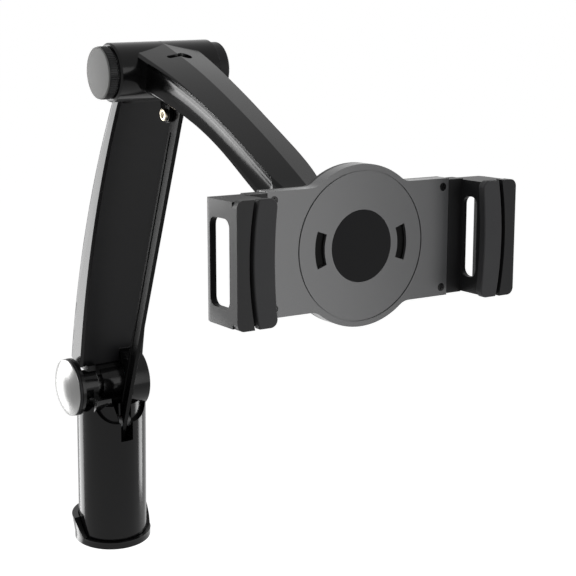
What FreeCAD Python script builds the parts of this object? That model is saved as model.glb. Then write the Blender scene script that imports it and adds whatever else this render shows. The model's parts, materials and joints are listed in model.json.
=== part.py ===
import FreeCAD, Part
import math
import os

# Tablet mounting clamp: a swivelling column, a lower arm with a parallel stay link,
# a curved upper arm and a spring-jaw holder. Millimetres, Z up, the front faces -Y,
# hinge axes lie along X, and the origin is the centre of the foot's underside.

# Fits
running_fit = 0.05          # radial clearance of pins and posts that turn
face_gap = 0.05             # gap between flat faces that slide on each other
seat_gap = 0.05             # gap between a fixed piece and its seat

# Column tube and hinge height, which the foot and the hinge's head follow
tube_radius = 22.5
tube_wall = 2.5
tube_bottom = 5.2
hinge_height = 109.4

# Foot and swivel
foot_radius = tube_radius + 2.7
foot_height = 4.6
collar_height = 16.0
collar_flare = 1.8
collar_thickness = 4.0
collar_ramp_front = -7.0    # where the collar's ramp meets the ring
collar_ramp_back = 3.0      # where the ramp reaches the collar's full height
foot_recess_depth = 2.2
foot_recess_inner = 11.0
foot_recess_outer = tube_radius - 1.0
foot_rib_count = 6
foot_rib_width = 2.0
swivel_boss_radius = 9.0
swivel_boss_top = 13.6
insert_radius = 6.0
insert_height = 8.0
insert_thread_radius = 3.4
swivel_bolt_radius = 4.0
swivel_head_radius = 6.6
swivel_head_height = 5.2
swivel_washer_radius = 14.0
swivel_washer_thickness = 1.4
swivel_disc_thickness = 0.3

# Column
tube_top = hinge_height - 11.4
plug_height = 9.0
notch_half_width = 18.0
notch_bottom = hinge_height - 22.6
notch_corner = 12.0
slot_left = -4.1
slot_right = 4.4
slot_bottom = hinge_height - 35.1
slot_flare_left = -9.1
slot_flare_top = hinge_height - 5.9

# Lower hinge: a head with a broad right ear and a slim left ear that carries the capped flange
barrel_radius = 19.6
barrel_left = -28.2
barrel_right = 18.5
head_left = -18.6
ear_left_inner = -13.4
ear_right_inner = 6.3
neck_radius = 9.6
ear_web_thickness = 3.6
flange_thickness_left = 2.0
window_front_drop = 5.4     # front wall of the window ends this far below the axis
window_rear_rise = 2.0
head_bore_radius = 17.4
hub_radius = 10.0
hub_left = -5.2
hub_neck_radius = 7.5
hinge_washer_radius = 9.0
hinge_washer_thickness = 0.75
hinge_bolt_radius = 4.0
hinge_bolt_head_radius = 7.0
counterbore_radius = 7.6
counterbore_depth = 6.0
head_skirt_bottom = hinge_height - 49.4
head_skirt_radius = 15.5
head_skirt_depth = 4.0
cap_radius = 18.4
cap_disc_thickness = 1.9
cap_dome_height = 6.0
head_screw_spread = 8.0
head_screw_height = hinge_height - 37.4
head_screw_radius = 1.9
head_screw_head = 3.6

# Arm linkage
arm_length = 218.5          # between the lower and the upper hinge axis
arm_lean = 17.69            # degrees forward of upright
link_drop = 17.5            # stay link pivots, below the hinge axes along the arm
link_forward = tube_radius - 1.2   # and in front of them, inside the tube
link_half_thickness = 1.3
link_half_depth = 4.4
link_body_low = link_forward + 0.3   # distance of the bar's centre line in front of the arm axis
link_body_high = link_forward + 6.7
link_groove_depth = 0.5
link_rim_front = 1.2
link_rim_rear = 1.9
link_tail = 15.0            # bar below its lower pivot
link_top = 8.0              # bar above its upper pivot
link_eye_radius = 4.6
link_pin_radius = 2.2

# Lower arm casting
arm_half_width = 22.5
arm_wall = 2.4
arm_corner = 6.0
arm_end_gap = 1.7           # the casting's ends clear the hinge barrels by this
arm_back_low = 20.5
arm_back_mid = 24.3
arm_back_high = 11.0
arm_front_low = 3.0
arm_front_mid = 10.0
arm_front_high = 1.0
arm_foot_level = 12.0
cover_recess = 0.8
cover_thickness = 1.8
cover_low = 11.8
cover_high = arm_length - 20.1
cover_boss_radius = 3.4
cover_boss_length = 5.0
cover_boss_gap = 0.1        # between the cover's bosses and the casting's
cover_boss_levels = (62.0, arm_length - 53.5)
cover_screw_radius = 1.5
cover_screw_head = 2.8
cover_screw_seat = 1.4      # depth of the counterbores in the casting's back
root_gap = 0.5              # between the cover's back and the roots behind it

# Upper hinge
tee_radius = 16.5
tee_half_length = 32.0
tee_bore_radius = 13.2
tee_inner_half = 21.0
tee_chamfer = 1.0
upper_knuckle_radius = 12.6
upper_knuckle_half = 19.2
upper_washer_thickness = 1.65
upper_washer_radius = 11.8
tee_window_low = -10.0      # degrees from straight down toward the rear
tee_window_high = 124.0
upper_bolt_radius = 4.0
knob_radius = 14.75
knob_start = 32.7
knob_end = 38.6
knob_flutes = 40
knob_flute_radius = 0.55
knob_face_radius = knob_radius - 0.35
knob_face_thickness = 0.8
end_cap_radius = 14.9
end_cap_start = 32.1
end_cap_end = 38.5

# Upper arm casting, from the upper hinge axis: distance and height of the ridge, the same
# of the underside, and the half width
ridge_rise = 2.4
arm_stations = (
    (1.6, 16.6, 3.6, -8.1, 21.0),
    (24.6, 10.8, 17.6, -9.4, 19.7),
    (48.6, 3.8, 41.6, -14.0, 17.8),
    (78.6, -6.9, 70.6, -21.8, 16.3),
    (111.6, -20.4, 103.6, -35.3, 15.4),
    (145.6, -36.2, 137.6, -52.3, 13.6),
    (158.6, -42.8, 152.4, -60.0, 8.2),
)
arm_edge_bevel = 1.6
side_channel_radius = 8.6
side_channel_offset = 4.3   # channel axis outside the arm's flank
keyhole_reach = 23.6
keyhole_offset = 3.8
keyhole_radius = 4.0
keyhole_slot_half = 1.9
keyhole_slot_end = -7.4
keyhole_depth = 16.2
pocket_half_width = 7.0
pocket_start = 21.1
pocket_end = 139.6
pocket_roof = 7.2
pocket_rib_width = 2.2
pocket_ribs = (51.6, 81.6, 111.6)
lug_inner = 1.5
lug_thickness = 2.4
link_bolt_head_radius = 3.4
link_bolt_head_height = 2.0

# Holder swivel, tilt and turn; reach and drop count from the upper hinge axis
pan_reach = 162.6
pan_eye_radius = 9.4
pan_eye_drop = 62.57
pan_eye_length = 13.0
pan_clearance_radius = 10.6
yoke_plate = 3.2
yoke_radius = 9.2
yoke_block_reach = 12.6     # from the pan pin forward
pan_pin_radius = 2.5
tilt_setback = 18.0         # tilt axis behind the holder's front face
tilt_knuckle_radius = 5.2
tilt_knuckle_half = 6.0
tilt_ear_thickness = 4.0
tilt_pin_radius = 2.0
flange_radius = 15.0
flange_thickness = 3.0
turn_post_radius = 3.6
turn_lip = 1.2

# Holder
holder_reach = 36.0         # front face ahead of the pan pin
holder_rise = 2.7           # its centre above the pan eye's underside
holder_tilt = 4.8           # degrees that the front face looks up
holder_roll = 1.5           # degrees clockwise as seen from the front
holder_depth = 9.0
front_skin = 2.0
back_skin = 2.0
disc_radius = 38.3
disc_blend = 9.0
wing_half_length = 52.0
wing_half_height = 28.7
rim_wall = 1.8
groove_radius = 35.7
groove_width = 0.7
groove_depth = 0.5
pad_radius = 17.0
pad_recess = 1.0
pad_proud = 0.1
window_inner_radius = 21.0
window_outer_radius = 26.4
window_half_angle = 19.5
plate_screw_x = 48.5
plate_screw_z = 24.6
plate_screw_radius = 1.2
plate_screw_head = 1.9

# Rack and pinion that ties the two grips together
gear_module = 1.0
pinion_teeth = 12
pressure_angle = 20.0
tooth_addendum = 0.8
tooth_dedendum = 1.1
tooth_backlash = 0.24
pinion_bore = 2.2
slide_play = 0.12
rack_back = 12.0
rack_end = 47.0
guide_inner = 17.0
guide_outer = 22.0
guide_end = 8.0

# Return springs, one beside each rack
spring_radius = 1.7
spring_wire = 0.42          # half the diagonal of its square wire
spring_pitch = 4.2
spring_height = 14.6        # its axis above the pinion's
spring_fixed_end = 8.6
spring_moving_end = 50.9
spring_anchor_inner = 6.0
spring_anchor_outer = 10.0
spring_pocket_play = 0.2

# Grips
grip_travel = 45.0
grip_width = 18.5
grip_inner = wing_half_length + 8.5
grip_outer = grip_inner + grip_width
grip_front = 14.2
grip_back = 8.2
grip_half_height = 27.5
grip_outer_wall = 3.2
grip_inner_wall = 2.5
grip_end_wall = 3.0
grip_front_wall = 2.4
grip_facet_start = 4.8      # narrow slanting facet along the outer wall's back edge
grip_facet_depth = 0.95
carriage_end = wing_half_length + 1.0
carriage_front = 1.2
carriage_half_height = 26.4
outer_hole_front = 11.8
outer_hole_back = 4.6
inner_hole_front = 11.2
inner_hole_back = 1.0
grip_hole_half = 19.7
grip_hole_corner = 4.0
lip_front = 18.1
lip_half_height = 28.3
lip_corner = 3.5
lip_gap_end = grip_outer - 10.0   # gap between rigid lip and pad: at its ends
lip_gap_mid = grip_outer - 7.3    # and at mid height
lip_gap_width = 2.2
pad_edge_end = grip_inner - 2.5
pad_edge_mid = grip_inner - 0.7

X = FreeCAD.Vector(1, 0, 0)
Y = FreeCAD.Vector(0, 1, 0)
Z = FreeCAD.Vector(0, 0, 1)
origin = FreeCAD.Vector(0, 0, 0)


def point(x, y, z):
    return FreeCAD.Vector(x, y, z)


def box(x0, x1, y0, y1, z0, z1):
    return Part.makeBox(x1 - x0, y1 - y0, z1 - z0, point(x0, y0, z0))


def rod_x(radius, x0, x1, y=0.0, z=0.0):
    return Part.makeCylinder(radius, x1 - x0, point(x0, y, z), X)


def rod_y(radius, y0, y1, x=0.0, z=0.0):
    return Part.makeCylinder(radius, y1 - y0, point(x, y0, z), Y)


def rod_z(radius, z0, z1, x=0.0, y=0.0):
    return Part.makeCylinder(radius, z1 - z0, point(x, y, z0), Z)


def tube_x(outer, inner, x0, x1, y=0.0, z=0.0):
    return rod_x(outer, x0, x1, y, z).cut(rod_x(inner, x0 - 1, x1 + 1, y, z))


def tube_z(outer, inner, z0, z1, x=0.0, y=0.0):
    return rod_z(outer, z0, z1, x, y).cut(rod_z(inner, z0 - 1, z1 + 1, x, y))


def hexagon_x(flats, x0, x1, y=0.0, z=0.0):
    corner = flats / 2.0 / math.cos(math.pi / 6)
    ring = [point(x0, y + corner * math.cos(k * math.pi / 3), z + corner * math.sin(k * math.pi / 3))
            for k in range(7)]
    return Part.Face(Part.makePolygon(ring)).extrude(X * (x1 - x0))


def line(a, b):
    return Part.LineSegment(a, b).toShape()


def arc(a, middle, b):
    return Part.Arc(a, middle, b).toShape()


def polygon_face(points):
    return Part.Face(Part.makePolygon(list(points) + [points[0]]))


def side_face(pairs, x=0.0):
    """Face in a plane across X, from (y, z) pairs."""
    return polygon_face([point(x, y, z) for y, z in pairs])


def side_prism(pairs, x0, x1):
    return side_face(pairs, x0).extrude(X * (x1 - x0))


def fuse(shapes):
    result = shapes[0]
    for shape in shapes[1:]:
        result = result.fuse(shape)
    return result.removeSplitter()


def cut(base, tools):
    for tool in tools:
        base = base.cut(tool)
    return base


def mirror_x(shape):
    return shape.mirror(origin, X)


# Frames of the moving pieces at rest

lean = math.radians(arm_lean)
lower_axis = point(0, 0, hinge_height)
arm_frame = FreeCAD.Placement(lower_axis, FreeCAD.Rotation(X, arm_lean))
upper_axis = arm_frame.multVec(point(0, 0, arm_length))
link_low = arm_frame.multVec(point(0, -link_forward, -link_drop))
link_high = arm_frame.multVec(point(0, -link_forward, arm_length - link_drop))
pan_distance = pan_reach - upper_axis.y
pan_eye_low = upper_axis.z - pan_eye_drop
pan_eye_high = pan_eye_low + pan_eye_length
yoke_block_front = pan_distance + yoke_block_reach
holder_centre = point(0, -pan_distance - holder_reach, pan_eye_low + holder_rise)
holder_frame = FreeCAD.Placement(
    holder_centre, FreeCAD.Rotation(X, -holder_tilt).multiply(FreeCAD.Rotation(Y, holder_roll)))
fork_frame = FreeCAD.Placement(holder_centre, FreeCAD.Rotation(X, -holder_tilt))
tilt_axis = fork_frame.multVec(point(0, tilt_setback, 0))


def placed(shape, frame):
    moved = shape.copy()
    moved.Placement = frame.multiply(moved.Placement)
    return moved


# Foot and swivel

def foot_cup():
    ring = rod_z(foot_radius, 0, foot_height)
    inner = tube_radius + 0.4
    wall = [(inner, foot_height - 1), (foot_radius, foot_height - 1),
            (foot_radius + collar_flare, collar_height), (inner, collar_height)]
    collar = polygon_face([point(r, 0, z) for r, z in wall]).revolve(origin, Z, 360)
    ramp = [(-40, foot_height), (collar_ramp_front, foot_height),
            (collar_ramp_back, collar_height + 0.1), (collar_ramp_back, 40), (-40, 40)]
    collar = collar.cut(side_prism(ramp, -40, 40))
    boss = rod_z(swivel_boss_radius, foot_height - 1, swivel_boss_top)
    body = fuse([ring, collar, boss])
    recess = tube_z(foot_recess_outer, foot_recess_inner, -1, foot_recess_depth)
    for k in range(foot_rib_count):
        rib = box(0, foot_radius, -foot_rib_width / 2, foot_rib_width / 2, -2, foot_recess_depth + 1)
        rib.rotate(origin, Z, 360.0 / foot_rib_count * k)
        recess = recess.cut(rib)
    bores = [recess,
             rod_z(insert_radius + seat_gap, -1, insert_height + seat_gap),
             rod_z(swivel_bolt_radius + seat_gap, 0, 40)]
    return cut(body, bores)


def mount_insert():
    body = tube_z(insert_radius, insert_thread_radius, 0, insert_height)
    groove = tube_z(insert_radius + 1, insert_radius - 0.5, insert_height * 0.45, insert_height * 0.6)
    return body.cut(groove)


plug_bottom = foot_height + swivel_disc_thickness + 2 * face_gap
plug_top = plug_bottom + plug_height
swivel_washer_low = plug_top + face_gap
swivel_head_low = swivel_washer_low + swivel_washer_thickness


def swivel_disc():
    low = foot_height + face_gap
    return tube_z(tube_radius - tube_wall - 1, swivel_boss_radius + 1, low, low + swivel_disc_thickness)


def swivel_washer():
    return tube_z(swivel_washer_radius, swivel_bolt_radius + seat_gap,
                  swivel_washer_low, swivel_head_low)


def swivel_bolt():
    shank = rod_z(swivel_bolt_radius, insert_height + 0.5, swivel_head_low + 1)
    corner = swivel_head_radius
    ring = [point(corner * math.cos(k * math.pi / 3), corner * math.sin(k * math.pi / 3), swivel_head_low)
            for k in range(7)]
    head = Part.Face(Part.makePolygon(ring)).extrude(Z * swivel_head_height)
    return fuse([shank, head])


# Column

def column_plug():
    return tube_z(tube_radius - tube_wall - seat_gap, swivel_boss_radius + running_fit,
                  plug_bottom, plug_top)


def notch_tool():
    top = tube_top + 20
    level = notch_bottom + notch_corner
    half = notch_half_width
    flat = half - notch_corner
    turn = notch_corner * math.sin(math.pi / 4)
    y = -tube_radius - 2
    edges = [line(point(-half, y, top), point(-half, y, level)),
             arc(point(-half, y, level), point(-flat - turn, y, level - turn),
                 point(-flat, y, notch_bottom)),
             line(point(-flat, y, notch_bottom), point(flat, y, notch_bottom)),
             arc(point(flat, y, notch_bottom), point(flat + turn, y, level - turn),
                 point(half, y, level)),
             line(point(half, y, level), point(half, y, top)),
             line(point(half, y, top), point(-half, y, top))]
    return Part.Face(Part.Wire(edges)).extrude(Y * (tube_radius + 2 - 8))


def screw_tools(radius, head, reach):
    tools = []
    for side in (-1, 1):
        x = side * head_screw_spread
        surface = math.sqrt(tube_radius ** 2 - x * x)
        tools.append(rod_y(radius, surface - reach, surface + 3, x, head_screw_height))
        cone = Part.makeCone(radius, head + 1.5, head - radius + 1.5,
                             point(x, surface - (head - radius) - 0.2, head_screw_height), Y)
        tools.append(cone)
    return tools


def column_tube():
    body = tube_z(tube_radius, tube_radius - tube_wall, tube_bottom, tube_top)
    saddle = rod_x(barrel_radius + seat_gap, -tube_radius - 1, barrel_right + 0.1, 0, hinge_height)
    slot = box(slot_left, slot_right, -tube_radius - 2, -8, slot_bottom, tube_top)
    return cut(body, [saddle, notch_tool(), slot] + screw_tools(head_screw_radius, head_screw_head, 4))


def hinge_head():
    neck = rod_z(tube_radius - tube_wall - seat_gap, head_skirt_bottom, tube_top)
    barrel = rod_x(barrel_radius, head_left, barrel_right, 0, hinge_height)
    window = rod_x(head_bore_radius, ear_left_inner, ear_right_inner, 0, hinge_height)
    sky = hinge_height + barrel_radius + 1
    front = box(head_left - 1, ear_right_inner, -tube_radius, 0, hinge_height - window_front_drop, sky)
    rear = box(head_left - 1, ear_right_inner, -1, tube_radius, hinge_height + window_rear_rise, sky)
    slot = box(slot_left, slot_right, -tube_radius, 6, slot_bottom - 12, hinge_height - window_front_drop + 1)
    flare = [(slot_left + 0.1, notch_bottom), (slot_flare_left, slot_flare_top),
             (slot_flare_left, slot_flare_top + 8), (slot_left + 0.1, slot_flare_top + 8)]
    wedge = polygon_face([point(x, -tube_radius, z) for x, z in flare]).extrude(Y * 10)
    skirt = rod_z(head_skirt_radius, head_skirt_bottom - 1, head_skirt_bottom + head_skirt_depth)
    bolt = rod_x(hinge_bolt_radius + seat_gap, barrel_left - 1, barrel_right + 1, 0, hinge_height)
    left_bore = rod_x(counterbore_radius, barrel_left - 1, barrel_left + counterbore_depth, 0, hinge_height)
    right_bore = rod_x(counterbore_radius, barrel_right - counterbore_depth, barrel_right + 1,
                       0, hinge_height)
    pin = rod_x(link_pin_radius + seat_gap, -20, 20, link_low.y, link_low.z)
    screws = [rod_y(head_screw_radius - 0.3, 8, 22, side * head_screw_spread, head_screw_height)
              for side in (-1, 1)]
    body = cut(fuse([neck, barrel]), [window, front, rear])
    web = box(ear_left_inner - ear_web_thickness, ear_left_inner, -neck_radius, neck_radius,
              notch_bottom, hinge_height)
    boss = rod_x(neck_radius, barrel_left, ear_left_inner, 0, hinge_height)
    rim = rod_x(cap_radius + 0.2, barrel_left, barrel_left + flange_thickness_left, 0, hinge_height)
    return cut(fuse([body, web, boss, rim]),
               [slot, wedge, skirt, bolt, left_bore, right_bore, pin] + screws)


def head_screws():
    solids = []
    for side in (-1, 1):
        x = side * head_screw_spread
        surface = math.sqrt(tube_radius ** 2 - x * x)
        depth = head_screw_head - head_screw_radius
        shank = rod_y(head_screw_radius - 0.35, surface - 9, surface - depth, x, head_screw_height)
        head = Part.makeCone(head_screw_radius - 0.35, head_screw_head - 0.4, depth,
                             point(x, surface - depth - 0.5, head_screw_height), Y)
        socket = hexagon_y(2.2, surface - 1.6, surface + 1, x, head_screw_height)
        solids.append(fuse([shank, head]).cut(socket))
    return Part.makeCompound(solids)


def hexagon_y(flats, y0, y1, x=0.0, z=0.0):
    corner = flats / 2.0 / math.cos(math.pi / 6)
    ring = [point(x + corner * math.cos(k * math.pi / 3), y0, z + corner * math.sin(k * math.pi / 3))
            for k in range(7)]
    return Part.Face(Part.makePolygon(ring)).extrude(Y * (y1 - y0))


def hinge_bolt_lower():
    seat = barrel_left + counterbore_depth
    shank = rod_x(hinge_bolt_radius, seat - 1, barrel_right - 1.5, 0, hinge_height)
    head = rod_x(hinge_bolt_head_radius, barrel_left + 0.6, seat - seat_gap, 0, hinge_height)
    socket = hexagon_x(6.0, barrel_left, barrel_left + 3.6, 0, hinge_height)
    return fuse([shank, head]).cut(socket)


def hinge_nut_lower():
    seat = barrel_right - counterbore_depth
    nut = hexagon_x(12.5, seat + seat_gap, seat + 5.0, 0, hinge_height)
    return nut.cut(rod_x(hinge_bolt_radius + seat_gap, 0, 30, 0, hinge_height))


def hinge_cap_disc():
    outer = barrel_left - seat_gap
    inner = outer - cap_disc_thickness
    disc = rod_x(cap_radius, inner, outer, 0, hinge_height)
    spigot = rod_x(counterbore_radius - 0.1, outer - 1, barrel_left + 0.5, 0, hinge_height)
    return fuse([disc, spigot])


def hinge_cap_dome():
    base = barrel_left - 2 * seat_gap - cap_disc_thickness
    rim = 0.8
    rise = cap_dome_height - rim
    sphere_radius = (cap_radius ** 2 + rise ** 2) / (2 * rise)
    low = base - rim
    profile = [line(point(base, 0, 0), point(base, cap_radius, 0)),
               line(point(base, cap_radius, 0), point(low, cap_radius, 0)),
               arc(point(low, cap_radius, 0),
                   point(low - rise + sphere_radius - math.sqrt(sphere_radius ** 2 - cap_radius ** 2 / 4),
                         cap_radius / 2, 0),
                   point(low - rise, 0, 0)),
               line(point(low - rise, 0, 0), point(base, 0, 0))]
    dome = Part.Face(Part.Wire(profile)).revolve(origin, X, 360)
    dome.translate(lower_axis)
    return dome


knuckle_left = ear_left_inner + hinge_washer_thickness + 2 * face_gap
knuckle_right = ear_right_inner - hinge_washer_thickness - 2 * face_gap


def hinge_washers():
    left = tube_x(hinge_washer_radius, hinge_bolt_radius + seat_gap, ear_left_inner + face_gap,
                  knuckle_left - face_gap, 0, hinge_height)
    right = tube_x(hinge_washer_radius, hinge_bolt_radius + seat_gap, knuckle_right + face_gap,
                   ear_right_inner - face_gap, 0, hinge_height)
    return Part.makeCompound([left, right])


def link_pin_lower():
    front = abs(link_low.y) + link_pin_radius
    reach = math.sqrt((tube_radius - tube_wall - 2 * seat_gap) ** 2 - front ** 2)
    return rod_x(link_pin_radius, -reach, reach, link_low.y, link_low.z)


def link_spacers():
    inner = link_pin_radius + seat_gap
    left = tube_x(link_eye_radius, inner, slot_left + face_gap, -link_half_thickness - face_gap,
                  link_low.y, link_low.z)
    right = tube_x(link_eye_radius, inner, link_half_thickness + face_gap, slot_right - face_gap,
                   link_low.y, link_low.z)
    return Part.makeCompound([left, right])


def slot_screw():
    radius = 1.15
    x = slot_left + radius + 0.1
    return rod_z(radius, link_low.z + link_eye_radius + 0.6, slot_flare_top - 4, x, link_low.y - 2.5)


# Lower arm, drawn upright with its lower hinge at the origin

def arm_outline(inset, low, high, front):
    """Side outline of the bowed casting; inset moves its back wall forward."""
    back = [point(0, arm_back_low - inset, low), point(0, arm_back_mid - inset, arm_length / 2),
            point(0, arm_back_high - inset, high)]
    edges = [arc(back[0], back[1], back[2])]
    if front:
        fore = [point(0, arm_front_high, high), point(0, arm_front_mid, arm_length / 2),
                point(0, arm_front_low, low)]
        edges += [line(back[2], fore[0]), arc(fore[0], fore[1], fore[2]), line(fore[2], back[0])]
    else:
        near = -arm_half_width
        edges += [line(back[2], point(0, near, high)), line(point(0, near, high), point(0, near, low)),
                  line(point(0, near, low), back[0])]
    return Part.Face(Part.Wire(edges))


def round_back(shape, radius, x):
    """Round the two long rear edges of an extruded outline."""
    edges = []
    for edge in shape.Edges:
        middle = edge.CenterOfMass
        if edge.Length > arm_length / 2 and abs(abs(middle.x) - x) < 0.01 and middle.y > 15:
            edges.append(edge)
    return shape.makeFillet(radius, edges)


arm_inner_half = arm_half_width - arm_wall


def arm_shell():
    low = arm_foot_level
    high = arm_length - tee_radius + 2
    outer = arm_outline(0, low, high, True).extrude(X * (2 * arm_half_width))
    outer.translate(point(-arm_half_width, 0, 0))
    outer = round_back(outer, arm_corner, arm_half_width)
    inner = arm_outline(arm_wall, low - 8, high + 8, False).extrude(X * (2 * arm_inner_half))
    inner.translate(point(-arm_inner_half, 0, 0))
    inner = round_back(inner, arm_corner - arm_wall, arm_inner_half)
    return outer.cut(inner)


def root_block(fore, rear):
    """Block between the side walls; its rear is narrower, inside the shell's rounded edges."""
    deep = arm_half_width - arm_corner
    set_back = [(y - arm_corner, z) for y, z in rear]
    wide = side_prism(fore + set_back, -arm_inner_half - 0.5, arm_inner_half + 0.5)
    return wide.fuse(side_prism(fore + rear, -deep, deep))


def low_root():
    """Block that joins the shell's foot to the hub, behind the cover."""
    top = cover_boss_levels[0] - 18.0
    low = hub_radius + 1.3
    heel = window_rear_rise + 0.8
    fore = [(cover_back(low) + root_gap, low), (cover_back(top) + root_gap, top)]
    rear = [(arm_back(top) - 0.5, top), (arm_back(arm_foot_level) - 0.5, arm_foot_level)]
    cheek = side_prism([(cover_back(low) + root_gap, low), (cover_back(top) + root_gap, top),
                        (head_bore_radius - 0.9, top), (head_bore_radius - 0.9, heel)],
                       -arm_inner_half - 0.5, 0)
    return root_block(fore, rear).fuse(cheek).cut(ear_room())


def ear_room():
    """Space that the head's broad right ear and its slim left ear turn in."""
    far = arm_half_width + 1
    wide = rod_x(barrel_radius + arm_end_gap, knuckle_right + face_gap, far)
    slim = rod_x(neck_radius + arm_end_gap, -far, knuckle_right + 1)
    return wide.fuse(slim)


def low_tongue():
    top = cover_boss_levels[0] - 18.0
    rise = hub_radius + 1.3
    fore = [(-0.3 * hub_radius, 0.85 * hub_radius), (0.3 * hub_radius, rise - 0.5),
            (cover_back(rise) + root_gap, rise), (cover_back(top) + root_gap, top)]
    rear = [(arm_back(top) - arm_wall, top), (head_bore_radius - 0.9, 2.0), (0, 0)]
    return side_prism(fore + rear, knuckle_left, knuckle_right)


def top_root():
    low = cover_high - 12.4
    high = arm_length - tee_radius + 1
    fore = [(cover_back(low) + root_gap, low), (cover_back(cover_high) + root_gap, cover_high + 0.1),
            (3.0, high)]
    rear = [(arm_back(high) - 0.5, high), (arm_back(low) - 0.5, low)]
    return root_block(fore, rear)


def top_neck():
    low = cover_high + 0.1
    middle = arm_length - 8.0
    back = upper_knuckle_radius - 1.1
    outline = [(0.8, low), (-1.0, middle), (0, arm_length), (back - 0.5, arm_length), (back, middle), (back, low)]
    return side_prism(outline, -upper_knuckle_half, upper_knuckle_half)


def cover_boss_end(z):
    return cover_back(z) + cover_boss_length


def lower_arm_casting():
    knuckle = rod_x(hub_neck_radius, knuckle_left, hub_left)
    hub = rod_x(hub_radius, hub_left, knuckle_right)
    top_knuckle = rod_x(upper_knuckle_radius, -upper_knuckle_half, upper_knuckle_half, 0, arm_length)
    bosses = [rod_y(cover_boss_radius, cover_boss_end(z) + cover_boss_gap, arm_back(z) - arm_wall + 0.5, 0, z)
              for z in cover_boss_levels]
    far = arm_half_width + 10
    keep_high = rod_x(tee_radius + arm_end_gap / 2, -far, far, 0, arm_length)
    body = fuse([arm_shell(), low_root(), top_root()] + bosses).cut(keep_high)
    body = fuse([body, low_tongue(), knuckle, hub, top_neck(), top_knuckle])
    bores = [rod_x(hinge_bolt_radius + bush_wall, -far, far),
             rod_x(upper_bolt_radius + bush_wall, -far, far, 0, arm_length)]
    for z in cover_boss_levels:
        bores.append(rod_y(cover_screw_radius + seat_gap, cover_boss_end(z) - 1, arm_back(z) + 1, 0, z))
        bores.append(rod_y(cover_screw_head + 0.2, arm_back(z) - cover_screw_seat, arm_back(z) + 3, 0, z))
    return cut(body, bores)


def circle_through(a, b, c):
    """Centre and radius of the circle through three (y, z) points."""
    ax, ay = a
    bx, by = b
    cx, cy = c
    d = 2 * (ax * (by - cy) + bx * (cy - ay) + cx * (ay - by))
    ux = ((ax * ax + ay * ay) * (by - cy) + (bx * bx + by * by) * (cy - ay) + (cx * cx + cy * cy) * (ay - by)) / d
    uy = ((ax * ax + ay * ay) * (cx - bx) + (bx * bx + by * by) * (ax - cx) + (cx * cx + cy * cy) * (bx - ax)) / d
    return ux, uy, math.hypot(ax - ux, ay - uy)


def arc_height(low, mid, high, z):
    """Distance y at height z of the arm's back or front curve."""
    top = arm_length - tee_radius + 2
    cy, cz, radius = circle_through((low, arm_foot_level), (mid, arm_length / 2), (high, top))
    return cy + math.sqrt(radius ** 2 - (z - cz) ** 2)


def arm_back(z):
    return arc_height(arm_back_low, arm_back_mid, arm_back_high, z)


def arm_front(z):
    return arc_height(arm_front_low, arm_front_mid, arm_front_high, z)


def cover_front(z):
    return arm_front(z) + cover_recess


def cover_back(z):
    return cover_front(z) + cover_thickness


def lower_arm_cover():
    levels = (cover_low, (cover_low + cover_high) / 2, cover_high)
    fore = [point(0, cover_front(z), z) for z in levels]
    rear = [point(0, cover_back(z), z) for z in levels]
    edges = [arc(fore[0], fore[1], fore[2]), line(fore[2], rear[2]),
             arc(rear[2], rear[1], rear[0]), line(rear[0], fore[0])]
    half = arm_inner_half - 0.1
    plate = Part.Face(Part.Wire(edges)).extrude(X * (2 * half))
    plate.translate(point(-half, 0, 0))
    bosses = [rod_y(cover_boss_radius, cover_back(z) - 0.5, cover_boss_end(z), 0, z) for z in cover_boss_levels]
    pilots = [rod_y(cover_screw_radius - 0.1, cover_back(z) - 0.3, cover_boss_end(z) + 1, 0, z)
              for z in cover_boss_levels]
    return cut(fuse([plate] + bosses), [ear_room()] + pilots)


def cover_screws():
    """Two screws from the back; their cross recesses face the rear."""
    solids = []
    for z in cover_boss_levels:
        seat = arm_back(z) - cover_screw_seat
        head = rod_y(cover_screw_head, seat + seat_gap, seat + cover_screw_seat - 0.1, 0, z)
        shank = rod_y(cover_screw_radius - 0.15, cover_back(z) + 0.6, seat + 0.5, 0, z)
        cross = box(-0.35, 0.35, seat + 0.6, seat + 3, z - 1.8, z + 1.8)
        bar = box(-1.8, 1.8, seat + 0.6, seat + 3, z - 0.35, z + 0.35)
        solids.append(cut(fuse([head, shank]), [cross, bar]))
    return Part.makeCompound(solids)


bush_wall = 2.0


def lower_bush():
    return tube_x(hinge_bolt_radius + bush_wall - seat_gap, hinge_bolt_radius + running_fit,
                  knuckle_left, knuckle_right)


def upper_bush():
    return tube_x(upper_bolt_radius + bush_wall - seat_gap, upper_bolt_radius + running_fit,
                  -upper_knuckle_half, upper_knuckle_half, 0, arm_length)


def upper_washers():
    low = upper_knuckle_half + face_gap
    high = low + upper_washer_thickness
    right = tube_x(upper_washer_radius, upper_bolt_radius + 0.3, low, high, 0, arm_length)
    return Part.makeCompound([right, mirror_x(right)])


# Stay link, drawn in the lower arm's frame

def stay_link():
    low = -link_drop - link_tail
    high = arm_length - link_drop + link_top
    body = [(-link_body_low + link_half_depth, low), (-link_body_high + link_half_depth, high),
            (-link_body_high - link_half_depth, high), (-link_body_low - link_half_depth, low)]
    t = link_half_thickness
    strip = side_prism(body, -t, t)
    tail = rod_x(link_half_depth, -t, t, -link_body_low, low)
    tip = rod_x(link_half_depth, -t, t, -link_body_high, high)
    low_eye = rod_x(link_eye_radius, -t, t, -link_forward, -link_drop)
    level = arm_length - link_drop
    high_eye = rod_x(link_eye_radius, -t, t, -link_forward, level)
    web = box(-t, t, -link_body_high, -link_forward, level - link_eye_radius, level + link_eye_radius)
    holes = [rod_x(link_pin_radius + running_fit, -9, 9, -link_forward, -link_drop),
             rod_x(link_pin_radius + 0.25, -9, 9, -link_forward, level)]
    return cut(fuse([strip, tail, tip, low_eye, high_eye, web]), holes + link_grooves())


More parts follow.
